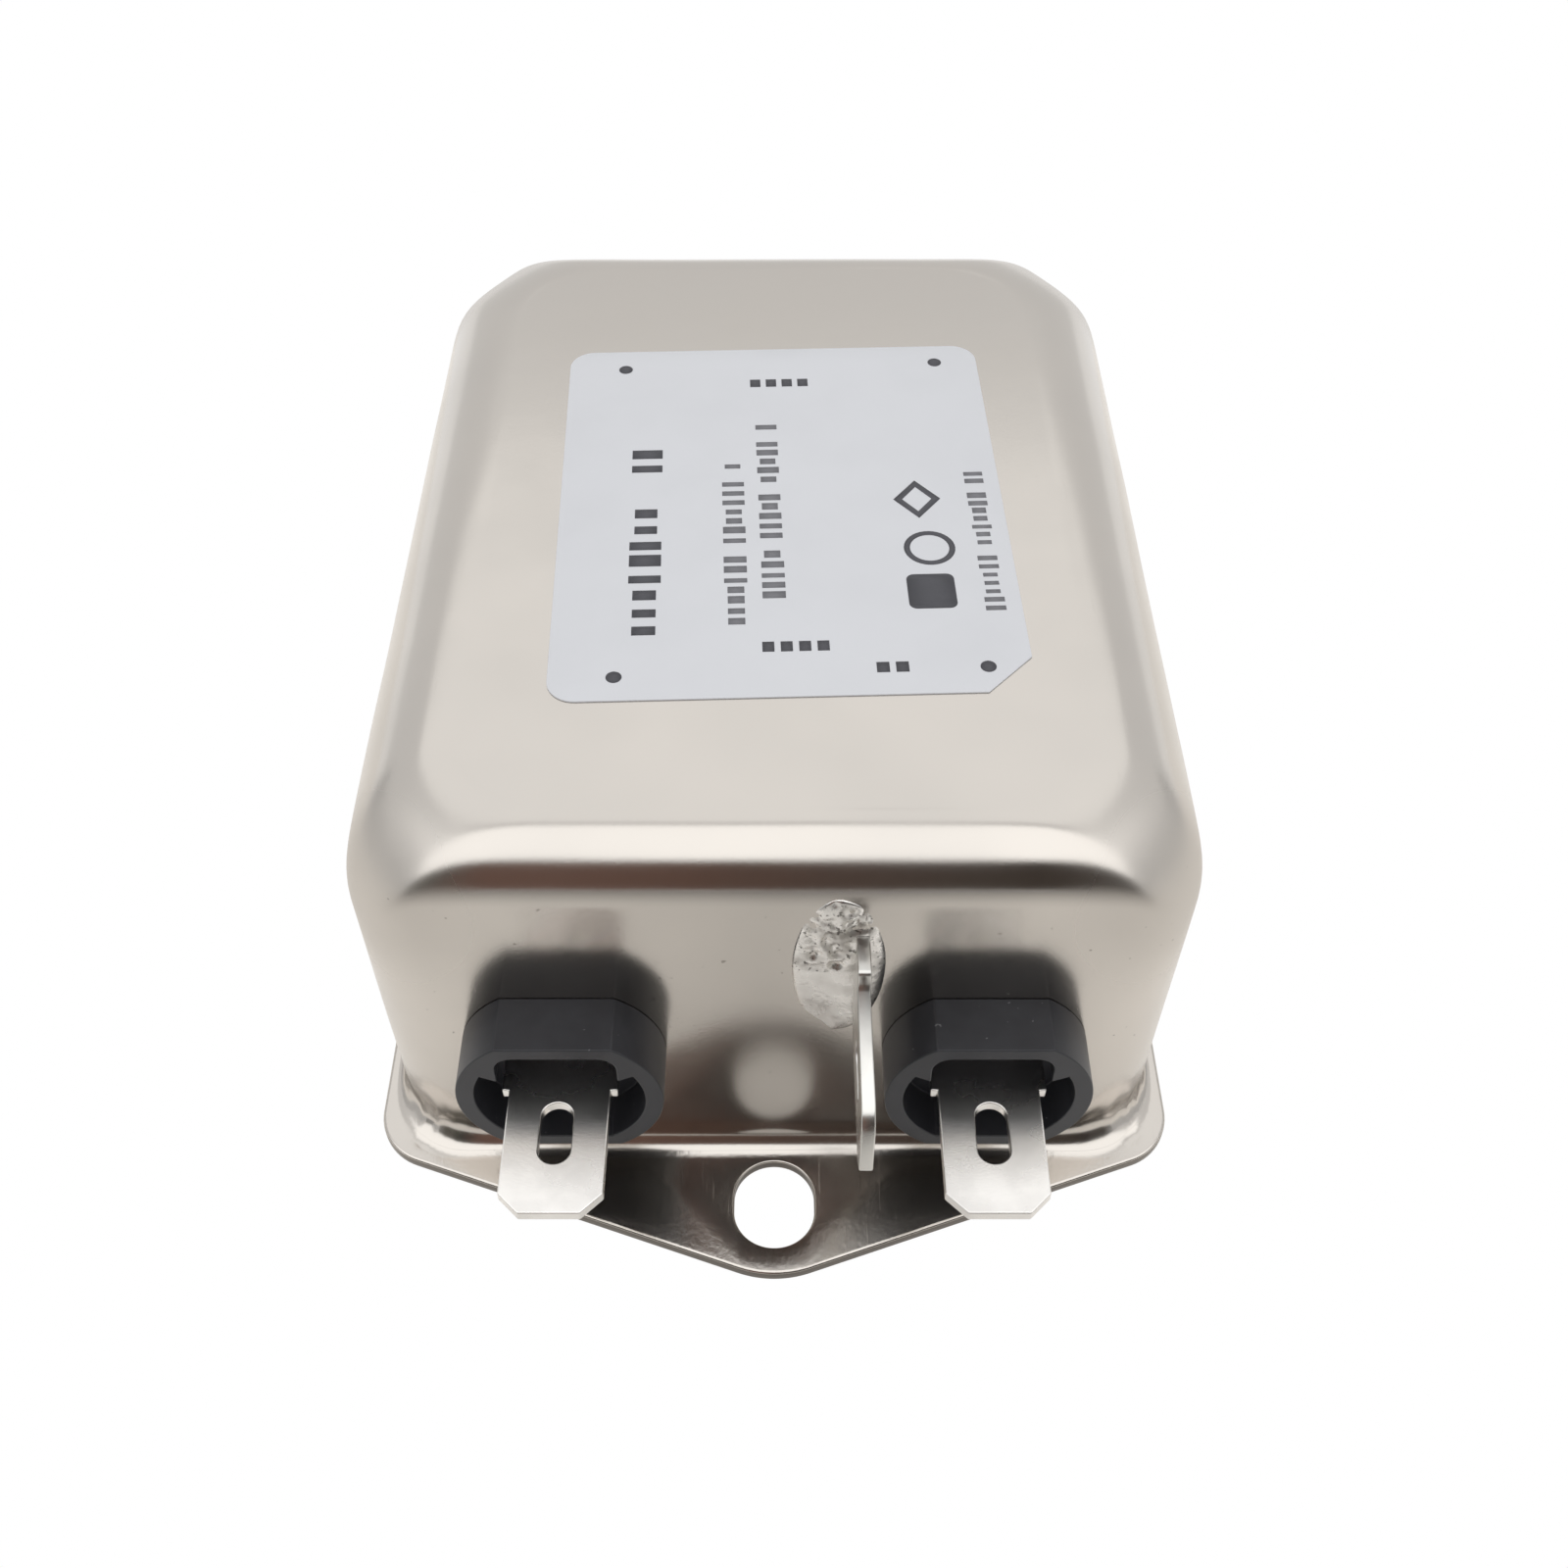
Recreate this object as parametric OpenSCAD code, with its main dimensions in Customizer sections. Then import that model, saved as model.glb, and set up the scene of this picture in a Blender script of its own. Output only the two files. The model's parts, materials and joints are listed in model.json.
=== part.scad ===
// Chassis-mount mains line filter: a deep-drawn steel can with an integral mounting flange,
// two blade terminals in moulded bushings at each end, and an earth blade beside the line pair.
// Origin: centre of the mounting face. Line end towards -Y, load end towards +Y, +Z up.

/* [Can] */
// Width of the can across its top
can_w = 50.3; // [49:0.1:64]
// Length of the can, end wall to end wall
can_l = 65.2; // [62:0.1:80]
// Height of the can above the mounting face
can_h = 30.3; // [25:0.1:38]
// Thickness of the drawn sheet
sheet_t = 0.8; // [0.6:0.1:1]
// Radius of the upright corners at the top
corner_top_r = 10; // [8:0.5:12]
// Radius of the upright corners at the foot
corner_foot_r = 6.5; // [5:0.5:8]
// Radius of the edge between the top and the walls
top_edge_r = 4; // [2:0.5:5]
// Outward flare of each side wall from top to foot
side_flare = 0.8; // [0:0.1:1]
// Radius of the bend between the walls and the flange
foot_bend_r = 1; // [0.5:0.1:1.5]

/* [Flange] */
// Reach of the flange past each side wall
flange_lip = 1.05; // [0.8:0.05:4]
// Radius of the flange corners
flange_corner_r = 4.2; // [3:0.1:6]
// Reach of the flange past each end wall, at its corners
flange_reach = 1.9; // [1.5:0.1:3]
// Radius of the rounded nose at each end
nose_r = 7; // [6:0.5:9]
// Land between the slot and the tip of the nose
nose_land = 1.85; // [1.5:0.05:4]
// Distance from each end wall to the centre of its mounting slot
slot_out = 4.9; // [4.6:0.1:8]
// Width of each mounting slot
slot_w = 5.3; // [4.3:0.1:5.5]
// Length of each mounting slot, end to end
slot_l = 6.3; // [5.6:0.1:6.6]

/* [Terminals] */
// Distance between the two blades of a pair
terminal_pitch = 26.6; // [22:0.1:27]
// Height of the blades above the mounting face
terminal_z = 12; // [11:0.1:14]
// Width of a blade
blade_w = 6.3; // [4.8:0.1:6.3]
// Thickness of a blade
blade_t = 0.8; // [0.5:0.1:1]
// Reach of the blades past the end wall
blade_reach = 11.8; // [10:0.1:14]
// Length of a blade inside the can
blade_inside = 7.4; // [6.5:0.1:8]
// Width of the hole in a blade
blade_hole_w = 2; // [1.4:0.1:2.2]
// Length of the hole in a blade
blade_hole_l = 4.2; // [2:0.1:4.6]
// Distance from the blade's tip to the middle of its hole
blade_hole_back = 5.4; // [4:0.1:6]
// Chamfer at the tip, across the blade
tip_chamfer_w = 1.3; // [0.8:0.1:1.6]
// Chamfer at the tip, along the blade
tip_chamfer_l = 1.3; // [0.8:0.1:1.6]
// Extra width of a blade's shoulders, each side
shoulder = 0.45; // [0.3:0.05:0.6]
// How far the shoulders stop behind the bushing's face
shoulder_back = 0.4; // [0.2:0.1:1.6]

/* [Bushings] */
// Radius of the bushing's outer collar
collar_r = 6.45; // [6:0.05:7]
// Height of the flats on the collar, from its centre
collar_flat = 5.4; // [5:0.1:6]
// How far the collar stands off the end wall
collar_out = 3.8; // [3:0.1:5]
// Radius of the hole in the end wall
neck_r = 5; // [4.6:0.1:5.4]
// Thickness of the snap lugs inside the wall
snap_t = 1.4; // [1:0.1:2]
// Radius of the snap lugs, above and below the blade
snap_r = 5.8; // [5.6:0.1:6]
// Half-width of the snap lugs
snap_w = 3; // [2:0.1:3.5]
// Depth of the recess in the collar's face
recess_depth = 3; // [2:0.1:3.5]
// Half-width of the recess around the blade
recess_w = 3.7; // [3.6:0.1:4]
// Half-height of the recess around the blade
recess_h = 4.4; // [4:0.05:4.6]
// Radius of the rounded corners of the recess
recess_corner_r = 1.2; // [0.5:0.1:1.5]
// Radius of the side pockets of the recess
pocket_r = 5.3; // [4.5:0.1:5.6]
// Slope of the pockets' upper edges, which point at the middle of the bushing
pocket_slope = 28; // [15:1:35]

/* [Earth blade] */
// Distance from the right line bushing to the middle of the earth blade
earth_gap = 1.65; // [1.5:0.05:3]
// Distance from the top of the can down to the middle of the earth blade
earth_drop = 11.15; // [11:0.05:12]
// Height of the wider root of the earth blade, above the blade's upper edge
earth_root_rise = 1.8; // [1:0.1:2.5]
// Length of the wider root, from the end wall
earth_root_l = 3; // [2:0.1:4]
// Radius inside the fold between the blade and its foot
earth_fold_r = 0.5; // [0.3:0.1:0.8]
// Width of the foot that is welded to the end wall
earth_foot_w = 4.4; // [3.5:0.1:5]
// Height of the foot
earth_foot_h = 9.4; // [8:0.1:10]
// How far the middle of the foot lies above the middle of the blade
earth_foot_up = 2.4; // [2:0.1:3]
// Outer size of the weld patch around the foot, across and up
weld_w = 5.6; // [4.8:0.1:6.2]
weld_h = 11.6; // [10:0.1:12.4]
// How far the weld patch runs past the blade
weld_past = 0.5; // [0.3:0.1:0.8]
// Thickness of the weld patch
weld_t = 0.25; // [0.1:0.05:0.4]

/* [Label] */
// Width of the label
label_w = 30; // [20:1:36]
// Length of the label
label_l = 36.6; // [24:0.1:48]
// Thickness of the label
label_t = 0.12; // [0.1:0.02:0.3]
// Radius of the label's corners
label_corner_r = 1.8; // [1:0.1:3]
// Size of the label's cut corner
label_cut = 3; // [2:0.1:5]
// Place and turn of the label, which was stuck on by hand
label_x = 0.5; // [-2:0.1:2]
label_y = -1.2; // [-4:0.1:4]
label_turn = 1.9; // [-3:0.1:3]

/* [Choke] */
// Outer radius of the toroid core
core_r = 15; // [12:0.5:18]
// Radius of the bore of the core
core_bore_r = 8.5; // [8:0.5:10]
// Height of the core
core_h = 11; // [8:0.5:13]
// Radius of the winding wire
wire_r = 0.6; // [0.4:0.05:0.7]
// Turns in each winding
turns = 11; // [6:1:12]
// Angle covered by each winding
winding_angle = 150; // [120:5:154]
// Thickness of the divider between the windings
divider_t = 1.4; // [1:0.1:1.6]

/* [Capacitors] */
// Width of the line-to-line capacitor
x_cap_w = 26.5; // [20:0.5:28]
// Thickness of the line-to-line capacitor
x_cap_t = 8; // [6:0.5:8.5]
// Headroom above the line-to-line capacitor
x_cap_room = 1.2; // [0.5:0.1:3]
// Radius of the line-to-earth capacitors
y_cap_r = 4.2; // [3.5:0.1:4.5]
// Thickness of the line-to-earth capacitors
y_cap_t = 3.6; // [3:0.1:4]
// Radius of the component leads
lead_r = 0.35; // [0.25:0.05:0.4]

/* [Closure] */
// Thickness of the base plate
plate_t = 0.8; // [0.6:0.1:1.2]
// Thickness of the insulating sheet under the top of the can
liner_t = 0.3; // [0.2:0.05:0.5]

/* [Hidden] */

$fn = 64;
round_fn = 32;       // facets of the rounded children of a hull
wire_sides = 8;      // sides of a wire
gap = 0.15;          // running clearance between pieces
fit = 0.05;          // clearance between pieces that lie against each other
space = 0.6;         // room left between components
sink = 0.3;          // overlap that joins the shapes of one piece
eps = 0.01;          // thinnest slab of a hull

end_y = can_l / 2;                       // outer face of the end wall
inner_y = end_y - sheet_t;               // inner face of the end wall
foot_w = can_w + 2 * side_flare;         // width of the can at its foot
inner_h = can_h - sheet_t;               // underside of the can's top
flange_w = foot_w + 2 * flange_lip;
bend_r = min(foot_bend_r, flange_lip - fit, flange_reach - fit);
mouth_r = bend_r + sheet_t;              // outer radius of the bend, seen from below

slot_y = end_y + slot_out;
nose_tip = slot_y + slot_l / 2 + nose_land;
nose_y = nose_tip - nose_r;                          // centre of the nose circle
flange_x = flange_w / 2 - flange_corner_r;           // centre of a corner circle
flange_y = end_y + flange_reach - flange_corner_r;

terminal_x = terminal_pitch / 2;
collar_y = end_y + collar_out;           // front face of the collar
snap_y = inner_y - snap_t;               // inner end of the bushing
tab_tip = end_y + blade_reach;
tab_inner = end_y - blade_inside;
shoulder_y = collar_y - shoulder_back;

earth_x = terminal_x - collar_r - earth_gap;
earth_z = can_h - earth_drop;
blade_x = earth_x - blade_t / 2;         // left face of the earth blade
earth_top = earth_z + blade_w / 2;
earth_low = earth_z - blade_w / 2;
foot_mid_x = earth_x + blade_t / 2 - earth_foot_w / 2;
weld_x = earth_x + blade_t / 2 + weld_past - weld_w / 2;
earth_foot_z = earth_z + earth_foot_up;

wire_gap = wire_r + gap;                 // wire's middle to the core's surface
core_round = 1;                          // rounded edges of the core
coil_r = core_r + wire_gap + wire_r;     // envelope of the wound choke
coil_h = core_h + 2 * (wire_gap + wire_r);
tail_z = terminal_z + blade_t / 2 + wire_r + fit;    // wire lying on the blade's inner end
tail_x = terminal_x - space;

x_cap_z = tail_z + wire_r + space;       // underside of the capacitor
x_cap_y = -(tab_inner - 1 - x_cap_t / 2);
core_z = (plate_t + inner_h) / 2;                    // the choke lies halfway up the can,
core_y = (x_cap_y + x_cap_t / 2 + tab_inner) / 2;    // between the capacitor and the load blades
x_cap_h = inner_h - liner_t - x_cap_room - x_cap_z;
x_pin_x = tail_x - wire_r - lead_r - space;          // half the spacing of its leads
y_cap_x = terminal_x + blade_w / 2 + space + y_cap_t / 2;
y_cap_y = tab_inner - 2.2;
y_cap_z = terminal_z + sink + y_cap_r;
y_lead = 2.5;                            // half the spacing of its leads
pin_low = terminal_z - 2;                // lower end of the line-to-line capacitor's leads
earth_lead_z = terminal_z - 3.5;         // height of the leads to the side walls
resistor_z = terminal_z - 1.3;
resistor_r = 1.2;
resistor_l = 6.5;

function unit(v) = v / norm(v);
function arc_points(cx, cy, r, a0, a1, n) =
    [for (i = [0 : n]) let (a = a0 + (a1 - a0) * i / n) [cx + r * cos(a), cy + r * sin(a)]];

// ---- general shapes ----

// Plate with rounded corners, standing on z = 0
module rounded_plate(w, l, r, t) {
    linear_extrude(t) {
        square([w, l - 2 * r], center = true);
        square([w - 2 * r, l], center = true);
        for (x = [-1, 1], y = [-1, 1])
            translate([x * (w / 2 - r), y * (l / 2 - r)]) circle(r);
    }
}

// Slot with round ends along Y, cut upwards from z = 0
module slot(w, l, t) {
    for (y = [-1, 1]) translate([0, y * (l - w) / 2, 0]) cylinder(r = w / 2, h = t);
    translate([-w / 2, -(l - w) / 2, 0]) cube([w, l - w, t]);
}

// Round wire along a path: a closed sweep whose frame turns as little as it can
module wire(path, r, sides = wire_sides) {
    last = len(path) - 1;
    runs = [for (i = [0 : last - 1]) unit(path[i + 1] - path[i])];
    tangents = [for (i = [0 : last]) unit(runs[max(i - 1, 0)] + runs[min(i, last - 1)])];
    start = unit(cross(tangents[0], [0.1, 0.2, 1]));
    normals = [for (i = 0, u = start; i <= last; i = i + 1,
                    u = i <= last ? unit(u - (u * tangents[i]) * tangents[i]) : u) u];
    points = [for (i = [0 : last], k = [0 : sides - 1])
              let (a = 360 * k / sides)
              path[i] + r * (cos(a) * normals[i] + sin(a) * cross(tangents[i], normals[i]))];
    walls = [for (i = [0 : last - 1], k = [0 : sides - 1])
             let (a = i * sides + k, b = i * sides + (k + 1) % sides)
             [a, b, b + sides, a + sides]];
    ends = [[for (k = [sides - 1 : -1 : 0]) k], [for (k = [0 : sides - 1]) last * sides + k]];
    polyhedron(points, concat([for (f = walls) [f[3], f[2], f[1], f[0]]],
                              [for (f = ends) [for (i = [sides - 1 : -1 : 0]) f[i]]]));
}

// Stands a shape, drawn upwards from z = 0, on the line end wall, so that its +Z points to -Y
module on_line_end(x, z, y = end_y) {
    translate([x, -y, z]) rotate([90, 0, 0]) children();
}

// ---- can ----

// Solid form of the can, made smaller all round by `inset`
module can_form(inset) {
    top_r = corner_top_r - inset;
    foot_r = corner_foot_r - inset;
    edge_r = top_edge_r - inset;
    top_z = can_h - inset;
    hull() {
        for (x = [-1, 1], y = [-1, 1]) {
            translate([x * (foot_w / 2 - corner_foot_r), y * (end_y - corner_foot_r), -inset])
                cylinder(r = foot_r, h = eps + inset, $fn = round_fn);
            translate([x * (can_w / 2 - corner_top_r), y * (end_y - corner_top_r), top_z - edge_r])
                rotate_extrude($fn = round_fn)
                    polygon(concat([[0, 0]], arc_points(top_r - edge_r, 0, edge_r, 0, 90, 6),
                                   [[0, edge_r]]));
        }
    }
}

// Concave corner between a wall at x = 0 and the ground, filled with a bend of radius r
module bend_profile(r, into) {
    difference() {
        translate([-into, -into]) square(r + into);
        translate([r, r]) circle(r);
    }
}

// The bend's profile carried round the foot of the can, along a wall inset by `inset`
module bend_ring(inset, r, into) {
    x = foot_w / 2 - corner_foot_r;
    y = end_y - corner_foot_r;
    wall_r = corner_foot_r - inset;
    for (side = [-1, 1]) {
        rotate([0, 0, side * 90 - 90]) translate([x + wall_r, y, 0]) rotate([90, 0, 0])
            linear_extrude(2 * y) bend_profile(r, into);
        rotate([0, 0, side * 90]) translate([y + wall_r, x, 0]) rotate([90, 0, 0])
            linear_extrude(2 * x) bend_profile(r, into);
    }
    for (i = [0 : 3])
        translate([(i == 0 || i == 3 ? 1 : -1) * x, (i < 2 ? 1 : -1) * y, 0])
            rotate([0, 0, 90 * i]) rotate_extrude(angle = 90)
                translate([wall_r, 0]) bend_profile(r, into);
}

// Flange outline: four corner circles and two nose circles joined by their tangents
module flange_outline() {
    span = [-flange_x, nose_y - flange_y];
    a = atan2(span[1], span[0]) - acos((flange_corner_r - nose_r) / norm(span));
    normal = [cos(a), sin(a)];
    corner = [flange_x, flange_y] + flange_corner_r * normal;
    nose = [0, nose_y] + nose_r * normal;
    quarter = [[flange_w / 2, flange_y], corner, nose];
    for (y = [-1, 1]) {
        translate([0, y * nose_y]) circle(nose_r);
        for (x = [-1, 1]) translate([x * flange_x, y * flange_y]) circle(flange_corner_r);
    }
    polygon(concat(
        quarter,
        [for (i = [2 : -1 : 0]) [-quarter[i][0], quarter[i][1]]],
        [for (p = quarter) -p],
        [for (i = [2 : -1 : 0]) [quarter[i][0], -quarter[i][1]]]));
}

module can() {
    color("#b9b3a8") difference() {
        union() {
            can_form(0);
            linear_extrude(sheet_t) flange_outline();
            translate([0, 0, sheet_t]) bend_ring(0, bend_r, sink);
        }
        can_form(sheet_t);
        bend_ring(sheet_t, mouth_r, 0);
        for (end = [0, 180], x = [-1, 1]) rotate([0, 0, end])
            on_line_end(x * terminal_x, terminal_z, end_y + 1) translate([0, 0, -1 - 2 * sheet_t])
                cylinder(r = neck_r, h = 2 + 2 * sheet_t);
        for (y = [-1, 1]) translate([0, y * slot_y, -1]) slot(slot_w, slot_l, sheet_t + 2);
    }
}

module base_plate() {
    color("#a8a49c")
        rounded_plate(foot_w - 2 * (sheet_t + gap), can_l - 2 * (sheet_t + gap),
                      corner_foot_r - sheet_t - gap, plate_t);
}

module insulating_sheet() {
    margin = top_edge_r + space;
    color("#d9c48a") translate([0, 0, inner_h - liner_t])
        rounded_plate(can_w - 2 * margin, can_l - 2 * margin, corner_top_r - top_edge_r, liner_t);
}

module label() {
    w = label_w / 2 - label_corner_r;
    l = label_l / 2 - label_corner_r;
    color("#dadbdf") translate([label_x, label_y, can_h]) rotate([0, 0, label_turn]) linear_extrude(label_t)
        difference() {
            union() {
                square([label_w, 2 * l], center = true);
                square([2 * w, label_l], center = true);
                for (x = [-1, 1], y = [-1, 1]) translate([x * w, y * l]) circle(label_corner_r);
            }
            translate([label_w / 2, -label_l / 2]) rotate([0, 0, 45])
                square([2 * label_cut, label_cut * sqrt(2)], center = true);
        }
}

// ---- terminals ----

// Bushing drawn with the end wall's outer face at z = 0 and the recess upwards
module bushing() {
    color("#2b2c2e") difference() {
        union() {
            intersection() {
                cylinder(r = collar_r, h = collar_out);
                translate([-collar_r, -collar_flat, 0])
                    cube([2 * collar_r, 2 * collar_flat, collar_out]);
            }
            translate([0, 0, -sheet_t - snap_t])
                cylinder(r = neck_r - fit, h = sheet_t + snap_t + sink);
            intersection() {
                translate([0, 0, -sheet_t - snap_t]) cylinder(r = snap_r, h = snap_t);
                cube([2 * snap_w, 2 * snap_r, 2 * (sheet_t + snap_t)], center = true);
            }
        }
        translate([0, 0, collar_out - recess_depth]) bushing_recess(recess_depth + 1);
        translate([-blade_w / 2 - shoulder, -blade_t / 2, -sheet_t - snap_t - 1])
            cube([blade_w + 2 * shoulder, blade_t, collar_out + sheet_t + snap_t + 2]);
    }
}

// Rounded pocket round the blade, widened to a circle below two corners that stay solid
module bushing_recess(depth) {
    rise = pocket_r * tan(pocket_slope);
    intersection() {
        rounded_plate(2 * recess_w, 2 * recess_h, recess_corner_r, depth);
        translate([-recess_w, -1, 0]) cube([2 * recess_w, recess_h + 1, depth]);
    }
    linear_extrude(depth) intersection() {
        circle(pocket_r);
        polygon([[0, 0], [pocket_r, rise], [pocket_r, -recess_h], [-pocket_r, -recess_h],
                 [-pocket_r, rise]]);
    }
}

// Blade lying flat, with its tip towards -Y and its middle plane at z = 0
module tab() {
    w = blade_w / 2;
    color("#c9c6c1") translate([0, 0, -blade_t / 2]) difference() {
        linear_extrude(blade_t) polygon([
            [-w - shoulder, -tab_inner], [-w - shoulder, -shoulder_y], [-w, -shoulder_y],
            [-w, tip_chamfer_l - tab_tip], [tip_chamfer_w - w, -tab_tip],
            [w - tip_chamfer_w, -tab_tip], [w, tip_chamfer_l - tab_tip],
            [w, -shoulder_y], [w + shoulder, -shoulder_y], [w + shoulder, -tab_inner]]);
        translate([0, blade_hole_back - tab_tip, -1]) slot(blade_hole_w, blade_hole_l, blade_t + 2);
    }
}

// A bushing or a tab at one of the four places: end 0 is the line end, 180 the load end
module place_bushing(end, side) {
    rotate([0, 0, end]) on_line_end(side * terminal_x, terminal_z) bushing();
}
module place_tab(end, side) {
    rotate([0, 0, end]) translate([side * terminal_x, 0, terminal_z]) tab();
}

module line_bushing_left() { place_bushing(0, -1); }
module line_bushing_right() { place_bushing(0, 1); }
module load_bushing_left() { place_bushing(180, 1); }
module load_bushing_right() { place_bushing(180, -1); }
module line_tab_left() { place_tab(0, -1); }
module line_tab_right() { place_tab(0, 1); }
module load_tab_left() { place_tab(180, 1); }
module load_tab_right() { place_tab(180, -1); }

// ---- earth blade ----

// Slab with half-round ends, standing on the end wall
module end_oval(x, z, w, h, t) {
    on_line_end(x, z) slot(w, h, t);
}

// One folded strip: an oval foot on the end wall and an upright blade
module earth_tab() {
    root_y = end_y + earth_root_l;
    rise = earth_root_rise;
    color("#cfccc6") difference() {
        union() {
            intersection() {
                end_oval(foot_mid_x, earth_foot_z, earth_foot_w, earth_foot_h, blade_t);
                translate([foot_mid_x - earth_foot_w, -end_y - blade_t, earth_low - rise])
                    cube([2 * earth_foot_w, blade_t, 2 * earth_foot_h]);
            }
            translate([blade_x, 0, 0]) rotate([90, 0, 90]) linear_extrude(blade_t) polygon([
                [-end_y, earth_low], [-end_y, earth_top + rise], [-root_y, earth_top + rise],
                [-root_y, earth_top], [-tab_tip + tip_chamfer_l, earth_top],
                [-tab_tip, earth_top - tip_chamfer_w], [-tab_tip, earth_low + tip_chamfer_w],
                [-tab_tip + tip_chamfer_l, earth_low]]);
            translate([blade_x, -end_y - blade_t, earth_low]) mirror([1, 0, 0]) rotate([0, 0, -90])
                linear_extrude(blade_w + rise) bend_profile(earth_fold_r, sink);
        }
        translate([blade_x - 1, blade_hole_back - tab_tip, earth_z]) rotate([0, 90, 0])
            slot(blade_hole_w, blade_hole_l, blade_t + 2);
    }
}

module earth_weld() {
    color("#aaa69e") difference() {
        end_oval(weld_x, earth_foot_z, weld_w, weld_h, weld_t);
        end_oval(foot_mid_x, earth_foot_z, earth_foot_w, earth_foot_h, 2);
        translate([blade_x - 1, -end_y - 2, earth_low]) cube([blade_t + 1, 2, blade_w + earth_root_rise]);
    }
}

// ---- choke ----

module choke_core() {
    r = core_round;
    color("#3a3a3c") translate([0, core_y, core_z]) rotate_extrude() {
        translate([core_bore_r, -core_h / 2 + r]) square([core_r - core_bore_r, core_h - 2 * r]);
        translate([core_bore_r + r, -core_h / 2]) square([core_r - core_bore_r - 2 * r, core_h]);
        for (x = [core_bore_r + r, core_r - r], z = [-1, 1]) translate([x, z * (core_h / 2 - r)])
            circle(r);
    }
}

module choke_divider() {
    l = core_bore_r - gap;
    color("#d8d2c0") translate([-divider_t / 2, core_y - l, core_z - core_h / 2 - 1])
        cube([divider_t, 2 * l, core_h + 2]);
}

// One turn round the core's section, as (distance from the axis, height) pairs
turn_r = core_round + wire_gap;
turn_in = core_bore_r + core_round;
turn_out = core_r - core_round;
turn_h = core_h / 2 - core_round;
one_turn = concat(
    arc_points(turn_out, turn_h, turn_r, 0, 90, 2), arc_points(turn_in, turn_h, turn_r, 90, 180, 2),
    arc_points(turn_in, -turn_h, turn_r, 180, 270, 2), arc_points(turn_out, -turn_h, turn_r, 270, 360, 2));

// The whole winding: from the line blade, round the core, and out to the load blade. Each tail
// leaves its coil outwards and downwards, in two steps.
tail_lap = 2;                // how far a tail lies on its blade
tail_past_cap = 2.6;         // where the line tail leaves the blade's line, past the capacitor's middle
tail_out = [1.9, 0.7];
tail_down = [1.5, 1];
steps = turns * len(one_turn);
function coil_point(k, out = 0, down = 0) =
    let (a = -winding_angle / 2 + winding_angle * k / steps,
         p = one_turn[(k + len(one_turn) - 1) % len(one_turn)])
    [(p[0] + out) * cos(a), core_y + (p[0] + out) * sin(a), core_z + p[1] - down];
function line_tail() =
    [[tail_x, -tab_inner - tail_lap, tail_z], [tail_x, x_cap_y + tail_past_cap, tail_z],
     coil_point(0, tail_out[0], tail_down[0]), coil_point(0, tail_out[1], tail_down[1])];
function load_tail() =
    [coil_point(steps, tail_out[1], tail_down[1]), coil_point(steps, tail_out[0], tail_down[0]),
     [tail_x, tab_inner - wire_r, tail_z], [tail_x, tab_inner + tail_lap, tail_z]];
winding_path = concat(line_tail(), [for (k = [0 : steps]) coil_point(k)], load_tail());

module winding(path) { color("#a8642f") wire(path, wire_r); }
module winding_right() { winding(winding_path); }
module winding_left() { mirror([1, 0, 0]) winding(winding_path); }

// ---- capacitors and resistor ----

module x_capacitor() {
    color("#d9b43a") {
        translate([-x_cap_w / 2, x_cap_y - x_cap_t / 2, x_cap_z]) cube([x_cap_w, x_cap_t, x_cap_h]);
        for (x = [-1, 1]) translate([x * x_pin_x, x_cap_y, pin_low])
            cylinder(r = lead_r, h = x_cap_z - pin_low + sink);
    }
}

// Disc on edge, with one lead to the load blade and one to the side wall
module y_capacitor_right() {
    drop = terminal_z - blade_t / 2 - lead_r - gap;       // height of the lead under the blade
    low = earth_lead_z;
    wall_x = can_w / 2 - sheet_t - gap;
    blade_y = y_cap_y + y_lead;
    wall_y = y_cap_y - y_lead;
    color("#3f74b5") {
        translate([y_cap_x - y_cap_t / 2, y_cap_y, y_cap_z]) rotate([0, 90, 0])
            cylinder(r = y_cap_r, h = y_cap_t);
        wire([[y_cap_x, blade_y, y_cap_z], [y_cap_x, blade_y, drop], [terminal_x, blade_y, drop]], lead_r);
        wire([[y_cap_x, wall_y, y_cap_z], [y_cap_x, wall_y, low], [wall_x, wall_y, low]], lead_r);
    }
}
module y_capacitor_left() { mirror([1, 0, 0]) y_capacitor_right(); }

module bleed_resistor() {
    reach = x_pin_x - lead_r - fit;
    color("#c8b08a") translate([-reach, x_cap_y, resistor_z]) rotate([0, 90, 0]) {
        cylinder(r = lead_r, h = 2 * reach);
        translate([0, 0, reach - resistor_l / 2]) cylinder(r = resistor_r, h = resistor_l);
    }
}

// ---- resin ----

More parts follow.
